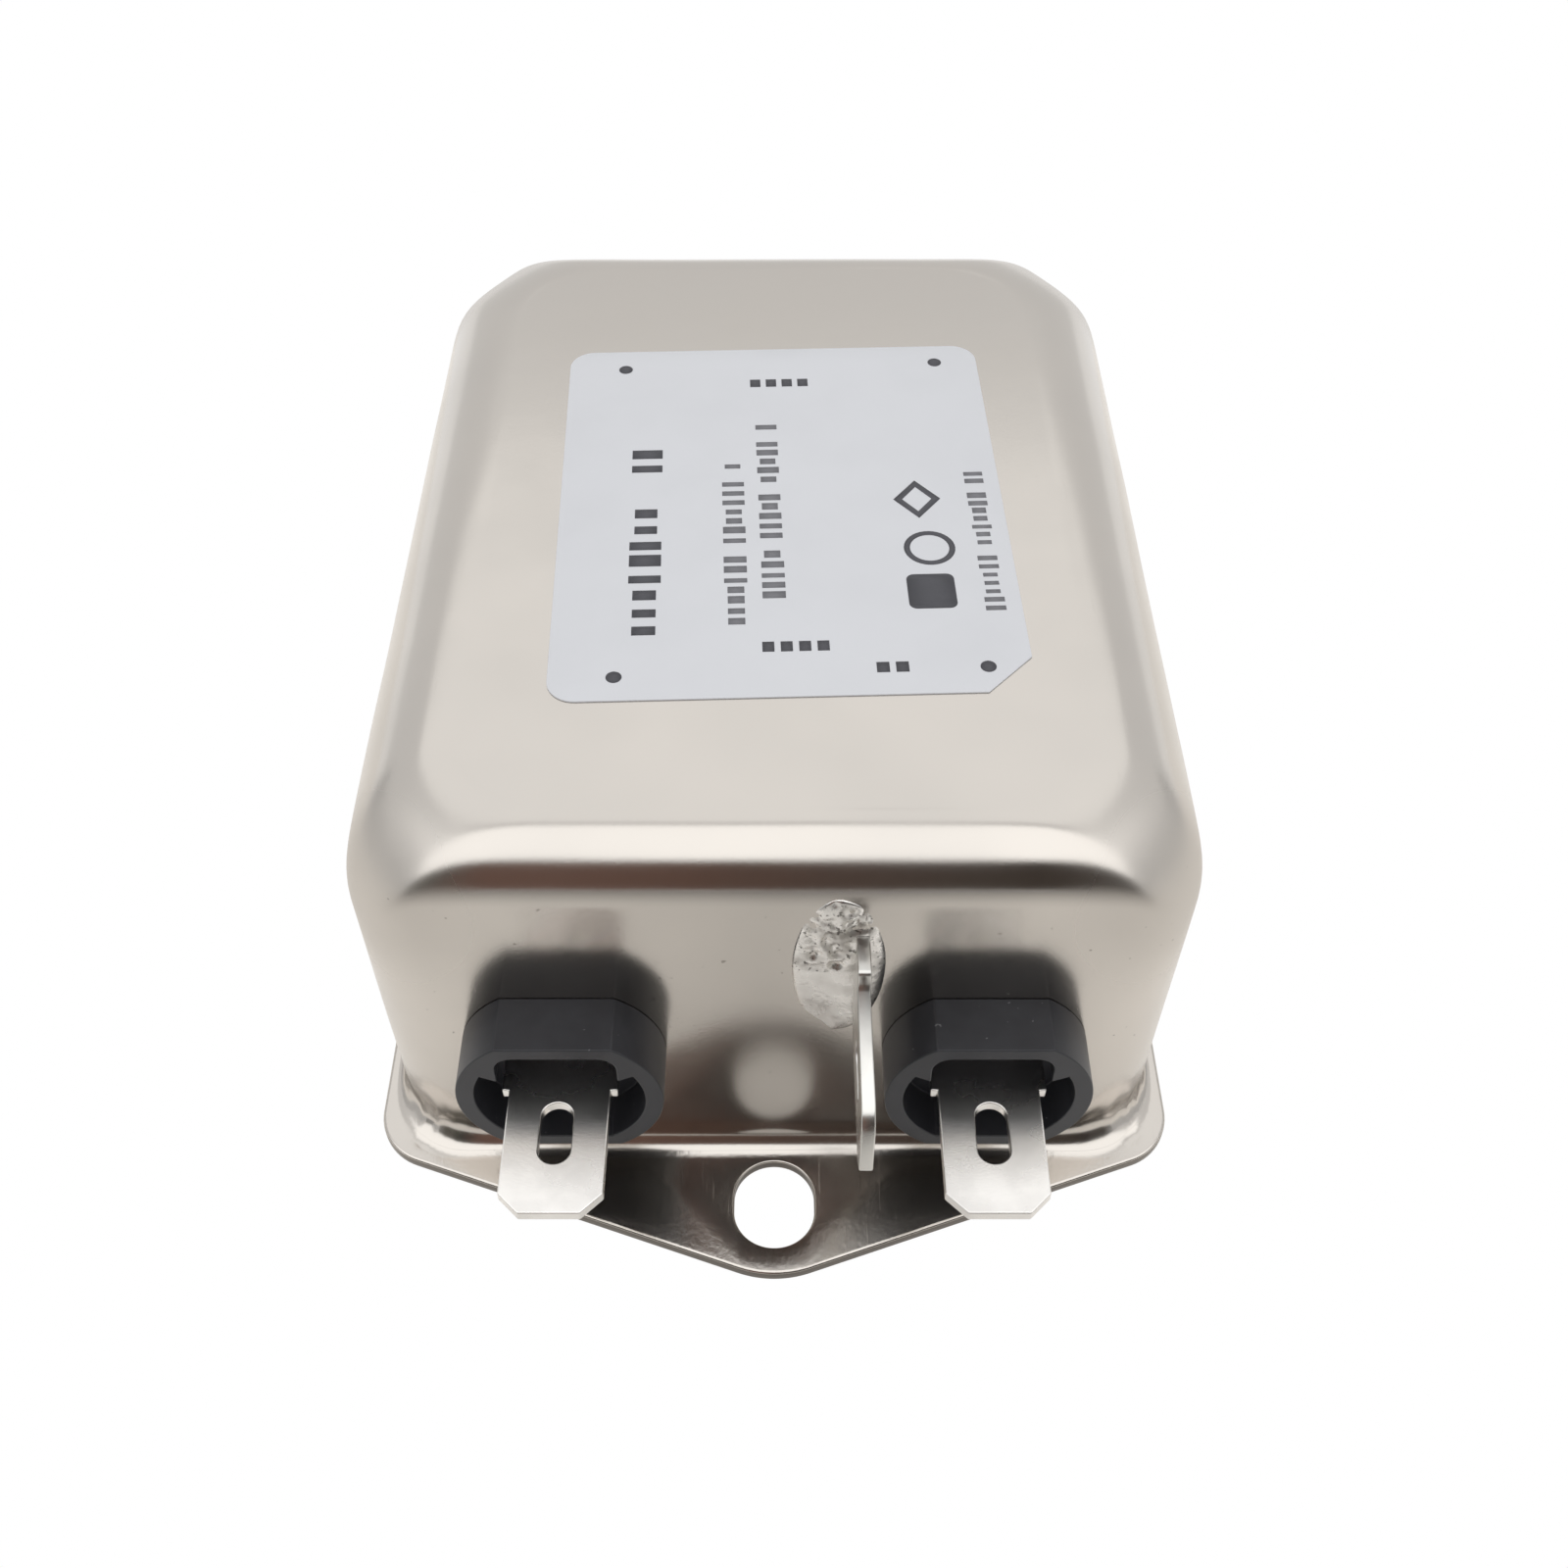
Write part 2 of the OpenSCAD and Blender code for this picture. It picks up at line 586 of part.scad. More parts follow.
// Everything inside the can that the cast resin flows round, as plain pockets
module resin_pockets() {
    for (end = [0, 180], x = [-1, 1]) rotate([0, 0, end]) {
        on_line_end(x * terminal_x, terminal_z, snap_y - gap)
            cylinder(r = snap_r + gap, h = snap_t + sheet_t + 1);
        translate([x * terminal_x - blade_w / 2 - shoulder - gap, -end_y, terminal_z - blade_t / 2 - gap])
            cube([blade_w + 2 * (shoulder + gap), blade_inside + gap, blade_t + 2 * gap]);
    }
    translate([0, core_y, core_z - coil_h / 2 - gap]) cylinder(r = coil_r + gap, h = coil_h + 2 * gap);
    translate([-x_cap_w / 2 - gap, x_cap_y - x_cap_t / 2 - gap, x_cap_z - gap])
        cube([x_cap_w + 2 * gap, x_cap_t + 2 * gap, x_cap_h + 2 * gap]);
    translate([-x_pin_x - lead_r - gap, x_cap_y - resistor_r - gap, pin_low - resistor_r])
        cube([2 * (x_pin_x + lead_r + gap), 2 * (resistor_r + gap), x_cap_z - pin_low + resistor_r]);
    for (side = [-1, 1]) {
        translate([side * y_cap_x, y_cap_y, y_cap_z]) rotate([0, 90, 0])
            cylinder(r = y_cap_r + gap, h = y_cap_t + 2 * gap, center = true);
        for (y = [-1, 1])
            translate([side * y_cap_x, y_cap_y + y * y_lead, earth_lead_z - lead_r - gap])
                cylinder(r = lead_r + gap, h = y_cap_z - earth_lead_z + lead_r);
        translate([side * (terminal_x + y_cap_x) / 2, y_cap_y + y_lead, terminal_z - blade_t / 2 - lead_r])
            cube([y_cap_x - terminal_x + 1.4, 2 * (lead_r + gap), 2 * (lead_r + gap)], center = true);
        translate([side * (can_w / 2 + y_cap_x) / 2, y_cap_y - y_lead, earth_lead_z])
            cube([can_w / 2 - y_cap_x + 1.4, 2 * (lead_r + gap), 2 * (lead_r + gap)], center = true);
    }
    for (m = [0, 1]) mirror([m, 0, 0]) {
        wire(concat([line_tail()[0] - [0, gap, 0]], line_tail(), [coil_point(0)]), wire_r + gap);
        wire(concat([coil_point(steps)], load_tail(), [load_tail()[3] + [0, gap, 0]]), wire_r + gap);
    }
}

module potting_resin() {
    color("#4a3b2e") difference() {
        can_form(sheet_t);
        translate([-foot_w, -can_l, -1 - sheet_t]) cube([2 * foot_w, 2 * can_l, plate_t + 1 + sheet_t]);
        translate([0, 0, inner_h - liner_t])
            rounded_plate(can_w - 2 * top_edge_r, can_l - 2 * top_edge_r, corner_top_r - top_edge_r, 1);
        resin_pockets();
    }
}

can();
base_plate();
potting_resin();
insulating_sheet();
label();
line_bushing_left();
line_bushing_right();
load_bushing_left();
load_bushing_right();
line_tab_left();
line_tab_right();
load_tab_left();
load_tab_right();
earth_tab();
earth_weld();
choke_core();
choke_divider();
winding_left();
winding_right();
x_capacitor();
y_capacitor_left();
y_capacitor_right();
bleed_resistor();
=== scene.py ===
"""Looks of a chassis-mount mains line filter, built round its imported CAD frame.

Everything is in metres in the CAD frame: the origin is the centre of the mounting face, the line
end with the earth blade faces -Y, and +Z is up. The CAD nodes inside the can only get materials.
The bushings and flat blades outside are CAD nodes with rounded edges, and finer meshes replace the
can, the label, the earth blade and its weld. The stage's cards and lamps give the metal its
reflections.
"""

import json
import math
import random

import bmesh
import bpy
from mathutils import Matrix, Vector, noise
from mathutils.geometry import delaunay_2d_cdt


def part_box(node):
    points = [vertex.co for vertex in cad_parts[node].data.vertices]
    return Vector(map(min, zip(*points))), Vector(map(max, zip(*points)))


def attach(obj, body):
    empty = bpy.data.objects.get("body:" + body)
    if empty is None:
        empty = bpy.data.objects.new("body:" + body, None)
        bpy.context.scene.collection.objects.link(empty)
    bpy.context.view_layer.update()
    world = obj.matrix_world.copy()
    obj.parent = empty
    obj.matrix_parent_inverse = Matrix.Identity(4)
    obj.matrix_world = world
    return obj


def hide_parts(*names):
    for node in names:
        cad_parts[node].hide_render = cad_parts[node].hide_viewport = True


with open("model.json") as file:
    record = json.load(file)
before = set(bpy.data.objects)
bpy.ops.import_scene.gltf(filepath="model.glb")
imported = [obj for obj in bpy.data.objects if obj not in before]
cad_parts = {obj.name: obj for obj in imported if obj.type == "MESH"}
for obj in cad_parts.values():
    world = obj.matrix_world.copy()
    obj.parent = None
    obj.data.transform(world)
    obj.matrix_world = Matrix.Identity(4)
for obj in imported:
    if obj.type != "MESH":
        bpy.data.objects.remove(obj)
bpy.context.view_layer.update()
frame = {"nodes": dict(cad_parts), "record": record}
MM = 0.001

# ---- sizes, from the frame where it states them ----

can_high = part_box("can")[1]
CAN_H = can_high.z
FLANGE_X = can_high.x                       # half the width of the flange
NOSE_TIP = can_high.y
END_Y = -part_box("earth_tab")[1].y           # the earth blade's foot stands on the end wall
SHEET = 0.8 * MM                            # thickness of the can and its flange
FLAT_X = 19.6 * MM                          # the flat top: half its width, half its length
FLAT_Y = END_Y - 4 * MM                     # and the radius of its corners
FLAT_CORNER = 7 * MM
WAIST_X = 26.1 * MM                         # the walls where the edge of the top runs into them
WAIST_CORNER = 6 * MM
FOOT_X = 25.95 * MM                         # and at their foot
FOOT_CORNER = 6.5 * MM
EDGE_END = 4 * MM                           # height of the rounded edge: at the ends, along
EDGE_SIDE = 7.8 * MM                        # the sides, and what the corners add
EDGE_CORNER = 2 * MM
BEND_SIDE = 0.7 * MM                        # bend between the walls and the flange: along the
BEND_END = 1.6 * MM                         # sides, at the ends, and what the corners add
BEND_CORNER = 1.1 * MM
FLANGE_CORNER = 4.2 * MM                    # the flange: radius of its corners and their centres
FLANGE_Y = END_Y + 1.9 * MM - FLANGE_CORNER
NOSE_R = 7 * MM                             # and the radius of its two noses
SLOT_Y = END_Y + 4.9 * MM                   # the mounting slots
SLOT_W = 5.3 * MM
SLOT_L = 6.3 * MM
TERMINAL_X = 13.3 * MM                      # middle of a flat blade
TERMINAL_Z = 12 * MM
EARTH_X = 5.2 * MM                          # middle of the earth blade
EARTH_Z = 19.15 * MM
BLADE_W = 6.3 * MM
BLADE_T = 0.8 * MM
NECK_R = 5 * MM                             # hole in the end wall for a bushing's neck


# ---- mesh tools ----

def arc(cx, cy, r, start, end, steps):
    """Points of an arc in the plane, angles in degrees, both ends included."""
    turns = [math.radians(start + (end - start) * i / steps) for i in range(steps + 1)]
    return [(cx + r * math.cos(a), cy + r * math.sin(a)) for a in turns]


def offset(loop, distance):
    """A closed counter-clockwise loop moved outwards by a distance, with mitred corners."""
    moved = []
    for i, (x, y) in enumerate(loop):
        before, after = Vector(loop[i - 1]), Vector(loop[(i + 1) % len(loop)])
        here = Vector((x, y))
        a, b = (here - before).normalized(), (after - here).normalized()
        normal_a, normal_b = Vector((a.y, -a.x)), Vector((b.y, -b.x))
        step = (normal_a + normal_b) * (distance / (1 + normal_a.dot(normal_b)))
        moved.append((x + step.x, y + step.y))
    return moved


def inside(point, loop):
    """Whether a point lies inside a closed loop."""
    x, y = point
    hit = False
    for (x0, y0), (x1, y1) in zip(loop, loop[1:] + loop[:1]):
        if (y0 > y) != (y1 > y) and x < (x1 - x0) * (y - y0) / (y1 - y0) + x0:
            hit = not hit
    return hit


class Shell:
    """Collects vertices and faces of one piece."""

    def __init__(self):
        self.verts = []
        self.faces = []

    def ring(self, loop, z):
        """Adds a closed loop of points, at one height or one each, and returns their numbers."""
        first = len(self.verts)
        heights = z if isinstance(z, list) else [z] * len(loop)
        self.verts += [Vector((x, y, h)) for (x, y), h in zip(loop, heights)]
        return list(range(first, len(self.verts)))

    def bridge(self, upper, lower):
        """Quads between two rings of the same length."""
        count = len(upper)
        for i in range(count):
            j = (i + 1) % count
            self.faces.append((upper[i], lower[i], lower[j], upper[j]))

    def stack(self, rings):
        """Quads between each ring and the next."""
        for upper, lower in zip(rings, rings[1:]):
            self.bridge(upper, lower)

    def fill(self, outer, holes=()):
        """Flat fill between one outer ring and the rings of its holes."""
        rings = [outer, *holes]
        numbers = [i for ring in rings for i in ring]
        points = [self.verts[i].xy for i in numbers]
        edges, start = [], 0
        for ring in rings:
            edges += [(start + i, start + (i + 1) % len(ring)) for i in range(len(ring))]
            start += len(ring)
        result = delaunay_2d_cdt(points, edges, [], 0, 1e-9)
        outlines = [[tuple(self.verts[i].xy) for i in ring] for ring in rings]
        for face in result[2]:
            centre = sum((result[0][i] for i in face), Vector((0, 0))) / len(face)
            if inside(centre, outlines[0]) and not any(inside(centre, o) for o in outlines[1:]):
                self.faces.append(tuple(numbers[result[3][i][0]] for i in face))

    def rim(self, loop, top, bottom, top_r, bottom_r, side, steps=5):
        """Edge of a plate along a loop, rolled at the top and the bottom. side is 1 for the
        plate's outline and -1 for a hole. Returns the rings of the two flat faces."""
        rings = []
        for i in range(steps + 1):
            a = math.radians(90 * i / steps)
            shift = -side * top_r * (1 - math.sin(a))
            rings.append(self.ring(offset(loop, shift), top - top_r * (1 - math.cos(a))))
        for i in range(steps + 1):
            a = math.radians(90 * i / steps)
            shift = -side * bottom_r * (1 - math.cos(a))
            rings.append(self.ring(offset(loop, shift), bottom + bottom_r * (1 - math.sin(a))))
        self.stack(rings)
        return rings[0], rings[-1]

    def build(self, name, material, place=None):
        """Makes the piece, moved to its place, with its faces turned outwards."""
        if place:
            self.verts = [place @ v for v in self.verts]
        mesh = bpy.data.meshes.new(name)
        mesh.from_pydata(self.verts, [], self.faces)
        tidy = bmesh.new()
        tidy.from_mesh(mesh)
        bmesh.ops.remove_doubles(tidy, verts=tidy.verts, dist=1e-7)
        bmesh.ops.recalc_face_normals(tidy, faces=tidy.faces)
        tidy.to_mesh(mesh)
        tidy.free()
        mesh.shade_smooth()
        piece = bpy.data.objects.new(name, mesh)
        bpy.context.scene.collection.objects.link(piece)
        mesh.materials.append(material)
        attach(piece, "root")
        return piece


def cut(piece, radius, length, centre):
    """Cuts a round hole along Y through a piece and keeps the result in its mesh."""
    bpy.ops.mesh.primitive_cylinder_add(vertices=96, radius=radius, depth=length,
                                        location=centre, rotation=(math.pi / 2, 0, 0))
    cutter = bpy.context.object
    modifier = piece.modifiers.new("hole", "BOOLEAN")
    modifier.operation = "DIFFERENCE"
    modifier.object = cutter
    bpy.context.view_layer.update()
    evaluated = piece.evaluated_get(bpy.context.evaluated_depsgraph_get())
    mesh = bpy.data.meshes.new_from_object(evaluated)
    piece.modifiers.remove(modifier)
    piece.data = mesh
    bpy.data.objects.remove(cutter)


def soften(name, width):
    """Rounds the hard edges of a CAD node that stays in view, with modifiers only."""
    piece = frame["nodes"][name]
    weld = piece.modifiers.new("weld", "WELD")
    weld.merge_threshold = 1e-6
    flat = piece.modifiers.new("flat", "DECIMATE")
    flat.decimate_type = "DISSOLVE"
    flat.angle_limit = math.radians(0.5)
    bevel = piece.modifiers.new("bevel", "BEVEL")
    bevel.width = width
    bevel.segments = 3
    bevel.limit_method = "ANGLE"
    bevel.angle_limit = math.radians(30)
    normals = piece.modifiers.new("normals", "WEIGHTED_NORMAL")
    normals.weight = 100
    piece.data.shade_smooth()


# ---- materials ----

class Finish:
    """A Principled material that nodes can be added to."""

    def __init__(self, name, colour, roughness, metallic=0.0):
        self.material = bpy.data.materials.new(name)
        self.material.use_nodes = True
        self.tree = self.material.node_tree
        self.shader = self.tree.nodes["Principled BSDF"]
        self.shader.inputs["Base Color"].default_value = (*colour, 1)
        self.shader.inputs["Roughness"].default_value = roughness
        self.shader.inputs["Metallic"].default_value = metallic
        self.place = self.node("ShaderNodeTexCoord").outputs["Object"]
        self.height = None

    def node(self, kind, **values):
        """Adds a shader node and sets its properties."""
        made = self.tree.nodes.new(kind)
        for key, value in values.items():
            setattr(made, key, value)
        return made

    def link(self, source, target):
        self.tree.links.new(source, target)

    def noise(self, size, detail=3.0, stretch=(1, 1, 1)):
        """Noise whose lumps are about `size` metres across, longer along a stretched axis."""
        mapping = self.node("ShaderNodeMapping")
        mapping.inputs["Scale"].default_value = [1 / (size * s) for s in stretch]
        self.link(self.place, mapping.inputs["Vector"])
        texture = self.node("ShaderNodeTexNoise")
        texture.inputs["Scale"].default_value = 1.0
        texture.inputs["Detail"].default_value = detail
        self.link(mapping.outputs["Vector"], texture.inputs["Vector"])
        return texture.outputs["Fac"]

    def ramp(self, source, stops):
        """Maps a value through (position, value) stops."""
        ramp = self.node("ShaderNodeValToRGB")
        elements = ramp.color_ramp.elements
        while len(elements) < len(stops):
            elements.new(0.5)
        for element, (position, value) in zip(elements, stops):
            element.position = position
            shade = (value, value, value) if isinstance(value, (int, float)) else value
            element.color = (*shade, 1)
        self.link(source, ramp.inputs["Fac"])
        return ramp.outputs["Color"]

    def tint(self, source, colour, amount=1.0):
        """Mixes another colour into the base colour where the source is high."""
        mix = self.node("ShaderNodeMix", data_type="RGBA")
        factor = self.node("ShaderNodeMath", operation="MULTIPLY")
        self.link(source, factor.inputs[0])
        factor.inputs[1].default_value = amount
        self.link(factor.outputs[0], mix.inputs["Factor"])
        base = self.shader.inputs["Base Color"]
        if base.links:
            self.link(base.links[0].from_socket, mix.inputs["A"])
        else:
            mix.inputs["A"].default_value = base.default_value
        mix.inputs["B"].default_value = (*colour, 1)
        self.link(mix.outputs["Result"], base)

    def rough(self, source, low, high):
        """Lets a source move the roughness between two values."""
        span = self.node("ShaderNodeMapRange")
        span.inputs["To Min"].default_value = low
        span.inputs["To Max"].default_value = high
        self.link(source, span.inputs["Value"])
        self.link(span.outputs["Result"], self.shader.inputs["Roughness"])

    def bump(self, source, depth, strength=1.0):
        """Adds a relief of the given depth in metres."""
        bump = self.node("ShaderNodeBump")
        bump.inputs["Distance"].default_value = depth
        bump.inputs["Strength"].default_value = strength
        self.link(source, bump.inputs["Height"])
        if self.height:
            self.link(self.height, bump.inputs["Normal"])
        self.height = bump.outputs["Normal"]
        self.link(self.height, self.shader.inputs["Normal"])

    def band(self, low, high):
        """1 between two heights and 0 elsewhere."""
        split = self.node("ShaderNodeSeparateXYZ")
        self.link(self.place, split.inputs[0])
        above = self.node("ShaderNodeMath", operation="GREATER_THAN")
        below = self.node("ShaderNodeMath", operation="LESS_THAN")
        for test, limit in ((above, low), (below, high)):
            self.link(split.outputs["Z"], test.inputs[0])
            test.inputs[1].default_value = limit
        return self.both(above.outputs[0], below.outputs[0])

    def near(self, corner, inner, outer):
        """1 close to a point and to its mirror images in X and Y, 0 far from them."""
        folded = self.node("ShaderNodeVectorMath", operation="ABSOLUTE")
        self.link(self.place, folded.inputs[0])
        distance = self.node("ShaderNodeVectorMath", operation="DISTANCE")
        self.link(folded.outputs[0], distance.inputs[0])
        distance.inputs[1].default_value = corner
        fade = self.node("ShaderNodeMapRange", interpolation_type="SMOOTHSTEP")
        fade.inputs["From Min"].default_value = outer
        fade.inputs["From Max"].default_value = inner
        self.link(distance.outputs["Value"], fade.inputs["Value"])
        return fade.outputs["Result"]

    def most(self, first, second):
        """The larger of two values."""
        largest = self.node("ShaderNodeMath", operation="MAXIMUM")
        self.link(first, largest.inputs[0])
        self.link(second, largest.inputs[1])
        return largest.outputs[0]

    def both(self, first, second):
        """The product of two values, so high only where both are."""
        product = self.node("ShaderNodeMath", operation="MULTIPLY")
        self.link(first, product.inputs[0])
        self.link(second, product.inputs[1])
        return product.outputs[0]

    def scratches(self, size, thin, angle):
        """Fine lines in one direction: stretched noise cut to its peaks."""
        mapping = self.node("ShaderNodeMapping")
        mapping.inputs["Rotation"].default_value = (0.3, 0.2, angle)
        mapping.inputs["Scale"].default_value = (1 / size, 1 / (size * thin), 1 / size)
        self.link(self.place, mapping.inputs["Vector"])
        texture = self.node("ShaderNodeTexNoise")
        texture.inputs["Scale"].default_value = 1.0
        texture.inputs["Detail"].default_value = 1.0
        self.link(mapping.outputs["Vector"], texture.inputs["Vector"])
        return self.ramp(texture.outputs["Fac"], [(0.70, 0.0), (0.76, 1.0)])


def can_steel():
    """Tin plate: cloudy and finely scratched, with dark specks, dark cut edges painted darker still
    as a painted reflection of shadowed ground, and duller at the can's upper corners, where the
    sheet was stretched."""
    finish = Finish("can_steel", (0.62, 0.583, 0.54), 0.2, 1.0)
    cloud = finish.noise(9 * MM, 2)
    finish.tint(finish.ramp(cloud, [(0.35, 0.0), (0.7, 1.0)]), (0.58, 0.548, 0.51), 0.6)
    specks = finish.ramp(finish.noise(0.55 * MM, 1), [(0.755, 0.0), (0.79, 1.0)])
    finish.tint(finish.both(specks, finish.band(1 * MM, 27 * MM)), (0.2, 0.18, 0.16), 0.6)
    # Dark cut edges of the flange and slots, painted darker still: a painted reflection of shadowed
    # ground
    finish.tint(finish.band(0.08 * MM, 0.66 * MM), (0.16, 0.145, 0.13), 0.9)
    stretched = finish.near((24.5 * MM, 31.5 * MM, 25 * MM), 2.5 * MM, 11 * MM)
    finish.rough(finish.most(finish.ramp(cloud, [(0.3, 0.0), (0.7, 0.2)]), stretched), 0.16, 0.42)
    finish.bump(finish.noise(0.22 * MM, 3), 0.004 * MM, 0.5)
    finish.bump(finish.noise(5 * MM, 2), 0.02 * MM, 0.4)
    finish.bump(finish.scratches(0.25 * MM, 14, 0.7), 0.003 * MM, 0.6)
    finish.bump(finish.scratches(0.16 * MM, 30, 2.3), 0.003 * MM, 0.6)
    low_band = finish.band(0.7 * MM, 0.95 * MM)
    finish.bump(finish.both(finish.noise(0.4 * MM, 3), low_band), 0.02 * MM, 0.5)
    return finish.material


def plain_steel(name, colour, roughness, grain_size, depth):
    """Plain metal with darker clouds, a fine grain of the given size and depth, and scratches."""
    finish = Finish(name, colour, roughness, 1.0)
    cloud = finish.noise(4 * MM, 3)
    darker = tuple(0.72 * c for c in colour)
    finish.tint(finish.ramp(cloud, [(0.4, 0.0), (0.75, 1.0)]), darker, 0.7)
    finish.rough(cloud, roughness - 0.06, roughness + 0.1)
    finish.bump(finish.noise(grain_size, 3), depth, 0.6)
    finish.bump(finish.scratches(0.12 * MM, 20, 1.2), 0.003 * MM, 0.6)
    return finish.material


def weld_metal():
    """Bright but dirty: sooty patches and fine pits."""
    finish = Finish("weld_metal", (0.88, 0.86, 0.83), 0.32, 1.0)
    soot = finish.ramp(finish.noise(1.3 * MM, 4), [(0.48, 0.0), (0.72, 1.0)])
    upper = finish.band(20.5 * MM, 30 * MM)
    finish.tint(finish.both(soot, upper), (0.32, 0.30, 0.27), 0.75)
    pits = finish.ramp(finish.noise(0.28 * MM, 2), [(0.6, 0.0), (0.68, 1.0)])
    finish.tint(finish.both(pits, upper), (0.12, 0.11, 0.1), 0.85)
    finish.rough(soot, 0.27, 0.5)
    finish.bump(finish.noise(0.35 * MM, 3), 0.03 * MM, 0.7)
    return finish.material


def moulded(name, colour, roughness):
    """Plastic, coating or ink with paler clouds, a fine grain and a little dust."""
    finish = Finish(name, colour, roughness)
    cloud = finish.noise(2.5 * MM, 4)
    paler = tuple(min(1.0, 1.35 * c + 0.006) for c in colour)
    finish.tint(finish.ramp(cloud, [(0.4, 0.0), (0.8, 1.0)]), paler, 0.7)
    dust = finish.ramp(finish.noise(0.4 * MM, 1), [(0.77, 0.0), (0.8, 1.0)])
    finish.tint(dust, tuple(0.5 * c + 0.2 for c in colour), 0.5)
    finish.rough(cloud, roughness - 0.06, roughness + 0.08)
    finish.bump(finish.noise(0.15 * MM, 2), 0.004 * MM, 0.5)
    return finish.material


def film(name, colour):
    """Smooth film, slightly clouded."""
    finish = Finish(name, colour, 0.42)
    finish.tint(finish.ramp(finish.noise(6 * MM, 3), [(0.4, 0.0), (0.7, 1.0)]),
                tuple(0.96 * c for c in colour), 0.6)
    finish.rough(finish.noise(3 * MM, 3), 0.36, 0.48)
    finish.bump(finish.noise(1.2 * MM, 2), 0.006 * MM, 0.3)
    return finish.material


# ---- can ----

CORNER_STEPS = 26                           # points of every rounded loop: round a corner, on a
WIDTH_STEPS = 30                            # straight across the can and on one along it
LENGTH_STEPS = 38
EASING = 10                                 # rounds of smoothing
# Signs of each corner's centre in X and Y, and the angle at which its arc starts
QUARTERS = ((1, 1, 0), (-1, 1, 90), (-1, -1, 180), (1, -1, 270))


def eased(points):
    """A closed loop of points, smoothed so that its straights run softly into its bends."""
    for _ in range(EASING):
        after = points[1:] + points[:1]
        before = points[-1:] + points[:-1]
        points = [tuple((a + 2 * b + c) / 4 for a, b, c in zip(p, q, r))
                  for p, q, r in zip(before, points, after)]
    return points


def rounded_loop(half_x, half_y, radius):
    """Counter-clockwise rounded rectangle that always has the same number of points."""
    radius = max(radius, 0.02 * MM)
    cx, cy = half_x - radius, half_y - radius
    corners = [arc(sx * cx, sy * cy, radius, a, a + 90, CORNER_STEPS) for sx, sy, a in QUARTERS]
    loop = []
    for corner, following, steps in zip(corners, corners[1:] + corners[:1],
                                        (WIDTH_STEPS, LENGTH_STEPS) * 2):
        loop += corner
        (x0, y0), (x1, y1) = corner[-1], following[0]
        loop += [(x0 + (x1 - x0) * i / steps, y0 + (y1 - y0) * i / steps) for i in range(1, steps)]
    return eased(loop)


def loop_normals():
    """Outward normals of every rounded loop, in the same order as its points."""
    normals = []
    for (_, _, start), steps in zip(QUARTERS, (WIDTH_STEPS, LENGTH_STEPS) * 2):
        turns = [math.radians(start + 90 * i / CORNER_STEPS) for i in range(CORNER_STEPS + 1)]
        normals += [(math.cos(a), math.sin(a)) for a in turns]
        normals += [normals[-1]] * (steps - 1)
    return eased(normals)


# For each point of a rounded loop: its normal, the radius of the bend and the height of the edge
NORMALS = loop_normals()
BENDS = [BEND_SIDE + (BEND_END - BEND_SIDE) * ny * ny + BEND_CORNER * 2 * abs(nx) * ny * ny
         for nx, ny in NORMALS]
EDGES = [EDGE_END * ny * ny + EDGE_SIDE * nx * nx + EDGE_CORNER * (2 * nx * ny) ** 2
         for nx, ny in NORMALS]


def grown(loop, amounts):
    """A rounded loop moved outwards, by one amount for all its points or one for each."""
    if not isinstance(amounts, list):
        amounts = [amounts] * len(loop)
    return [(x + nx * d, y + ny * d) for (x, y), (nx, ny), d in zip(loop, NORMALS, amounts)]


def between(first, second, share):
    """A loop part of the way from one rounded loop to another."""
    return [(x0 + (x1 - x0) * share, y0 + (y1 - y0) * share)
            for (x0, y0), (x1, y1) in zip(first, second)]


def top_rings(shell, inset, insets, steps):
    """Rings of the can's top, from its middle out and down round the edge."""
    rings = []
    for step in insets:
        flat = rounded_loop(FLAT_X - step, FLAT_Y - step, FLAT_CORNER - step)
        rings.append(shell.ring(flat, CAN_H - inset))
    flat = rounded_loop(FLAT_X, FLAT_Y, FLAT_CORNER)
    waist = grown(rounded_loop(WAIST_X, END_Y, WAIST_CORNER), -inset)
    for i in range(steps + 1):
        a = math.radians(90 * i / steps)
        heights = [CAN_H - inset - (edge - inset) * (1 - math.cos(a)) for edge in EDGES]
        rings.append(shell.ring(between(flat, waist, math.sin(a)), heights))
    return rings


def wall_rings(shell, inset, bends, rows, steps):
    """Rings of the walls from the top edge down, and round the bend into the flange."""
    waist = grown(rounded_loop(WAIST_X, END_Y, WAIST_CORNER), -inset)
    foot = rounded_loop(FOOT_X, END_Y, FOOT_CORNER)
    low = [SHEET - inset + bend for bend in bends]
    rings = []
    for i in range(1, rows + 1):
        heights = [(CAN_H - edge) * (1 - i / rows) + z * i / rows for edge, z in zip(EDGES, low)]
        rings.append(shell.ring(between(waist, grown(foot, -inset), i / rows), heights))
    for i in range(1, steps + 1):
        a = math.radians(90 * i / steps)
        loop = grown(foot, [bend * (1 - math.cos(a)) - inset for bend in bends])
        rings.append(shell.ring(loop, [SHEET - inset + bend * (1 - math.sin(a)) for bend in bends]))
    return rings


def flange_outline():
    """Four corner arcs and two nose arcs joined by their tangents, counter-clockwise."""
    span = Vector((FLANGE_CORNER - FLANGE_X, NOSE_TIP - NOSE_R - FLANGE_Y))
    lean = math.atan2(span.y, span.x) - math.acos((FLANGE_CORNER - NOSE_R) / span.length)
    lean = math.degrees(lean)
    half = (arc(FLANGE_X - FLANGE_CORNER, FLANGE_Y, FLANGE_CORNER, 0, lean, 14)
            + arc(0, NOSE_TIP - NOSE_R, NOSE_R, lean, 180 - lean, 20)
            + arc(FLANGE_CORNER - FLANGE_X, FLANGE_Y, FLANGE_CORNER, 180 - lean, 180, 14))
    return half + [(-x, -y) for x, y in half]


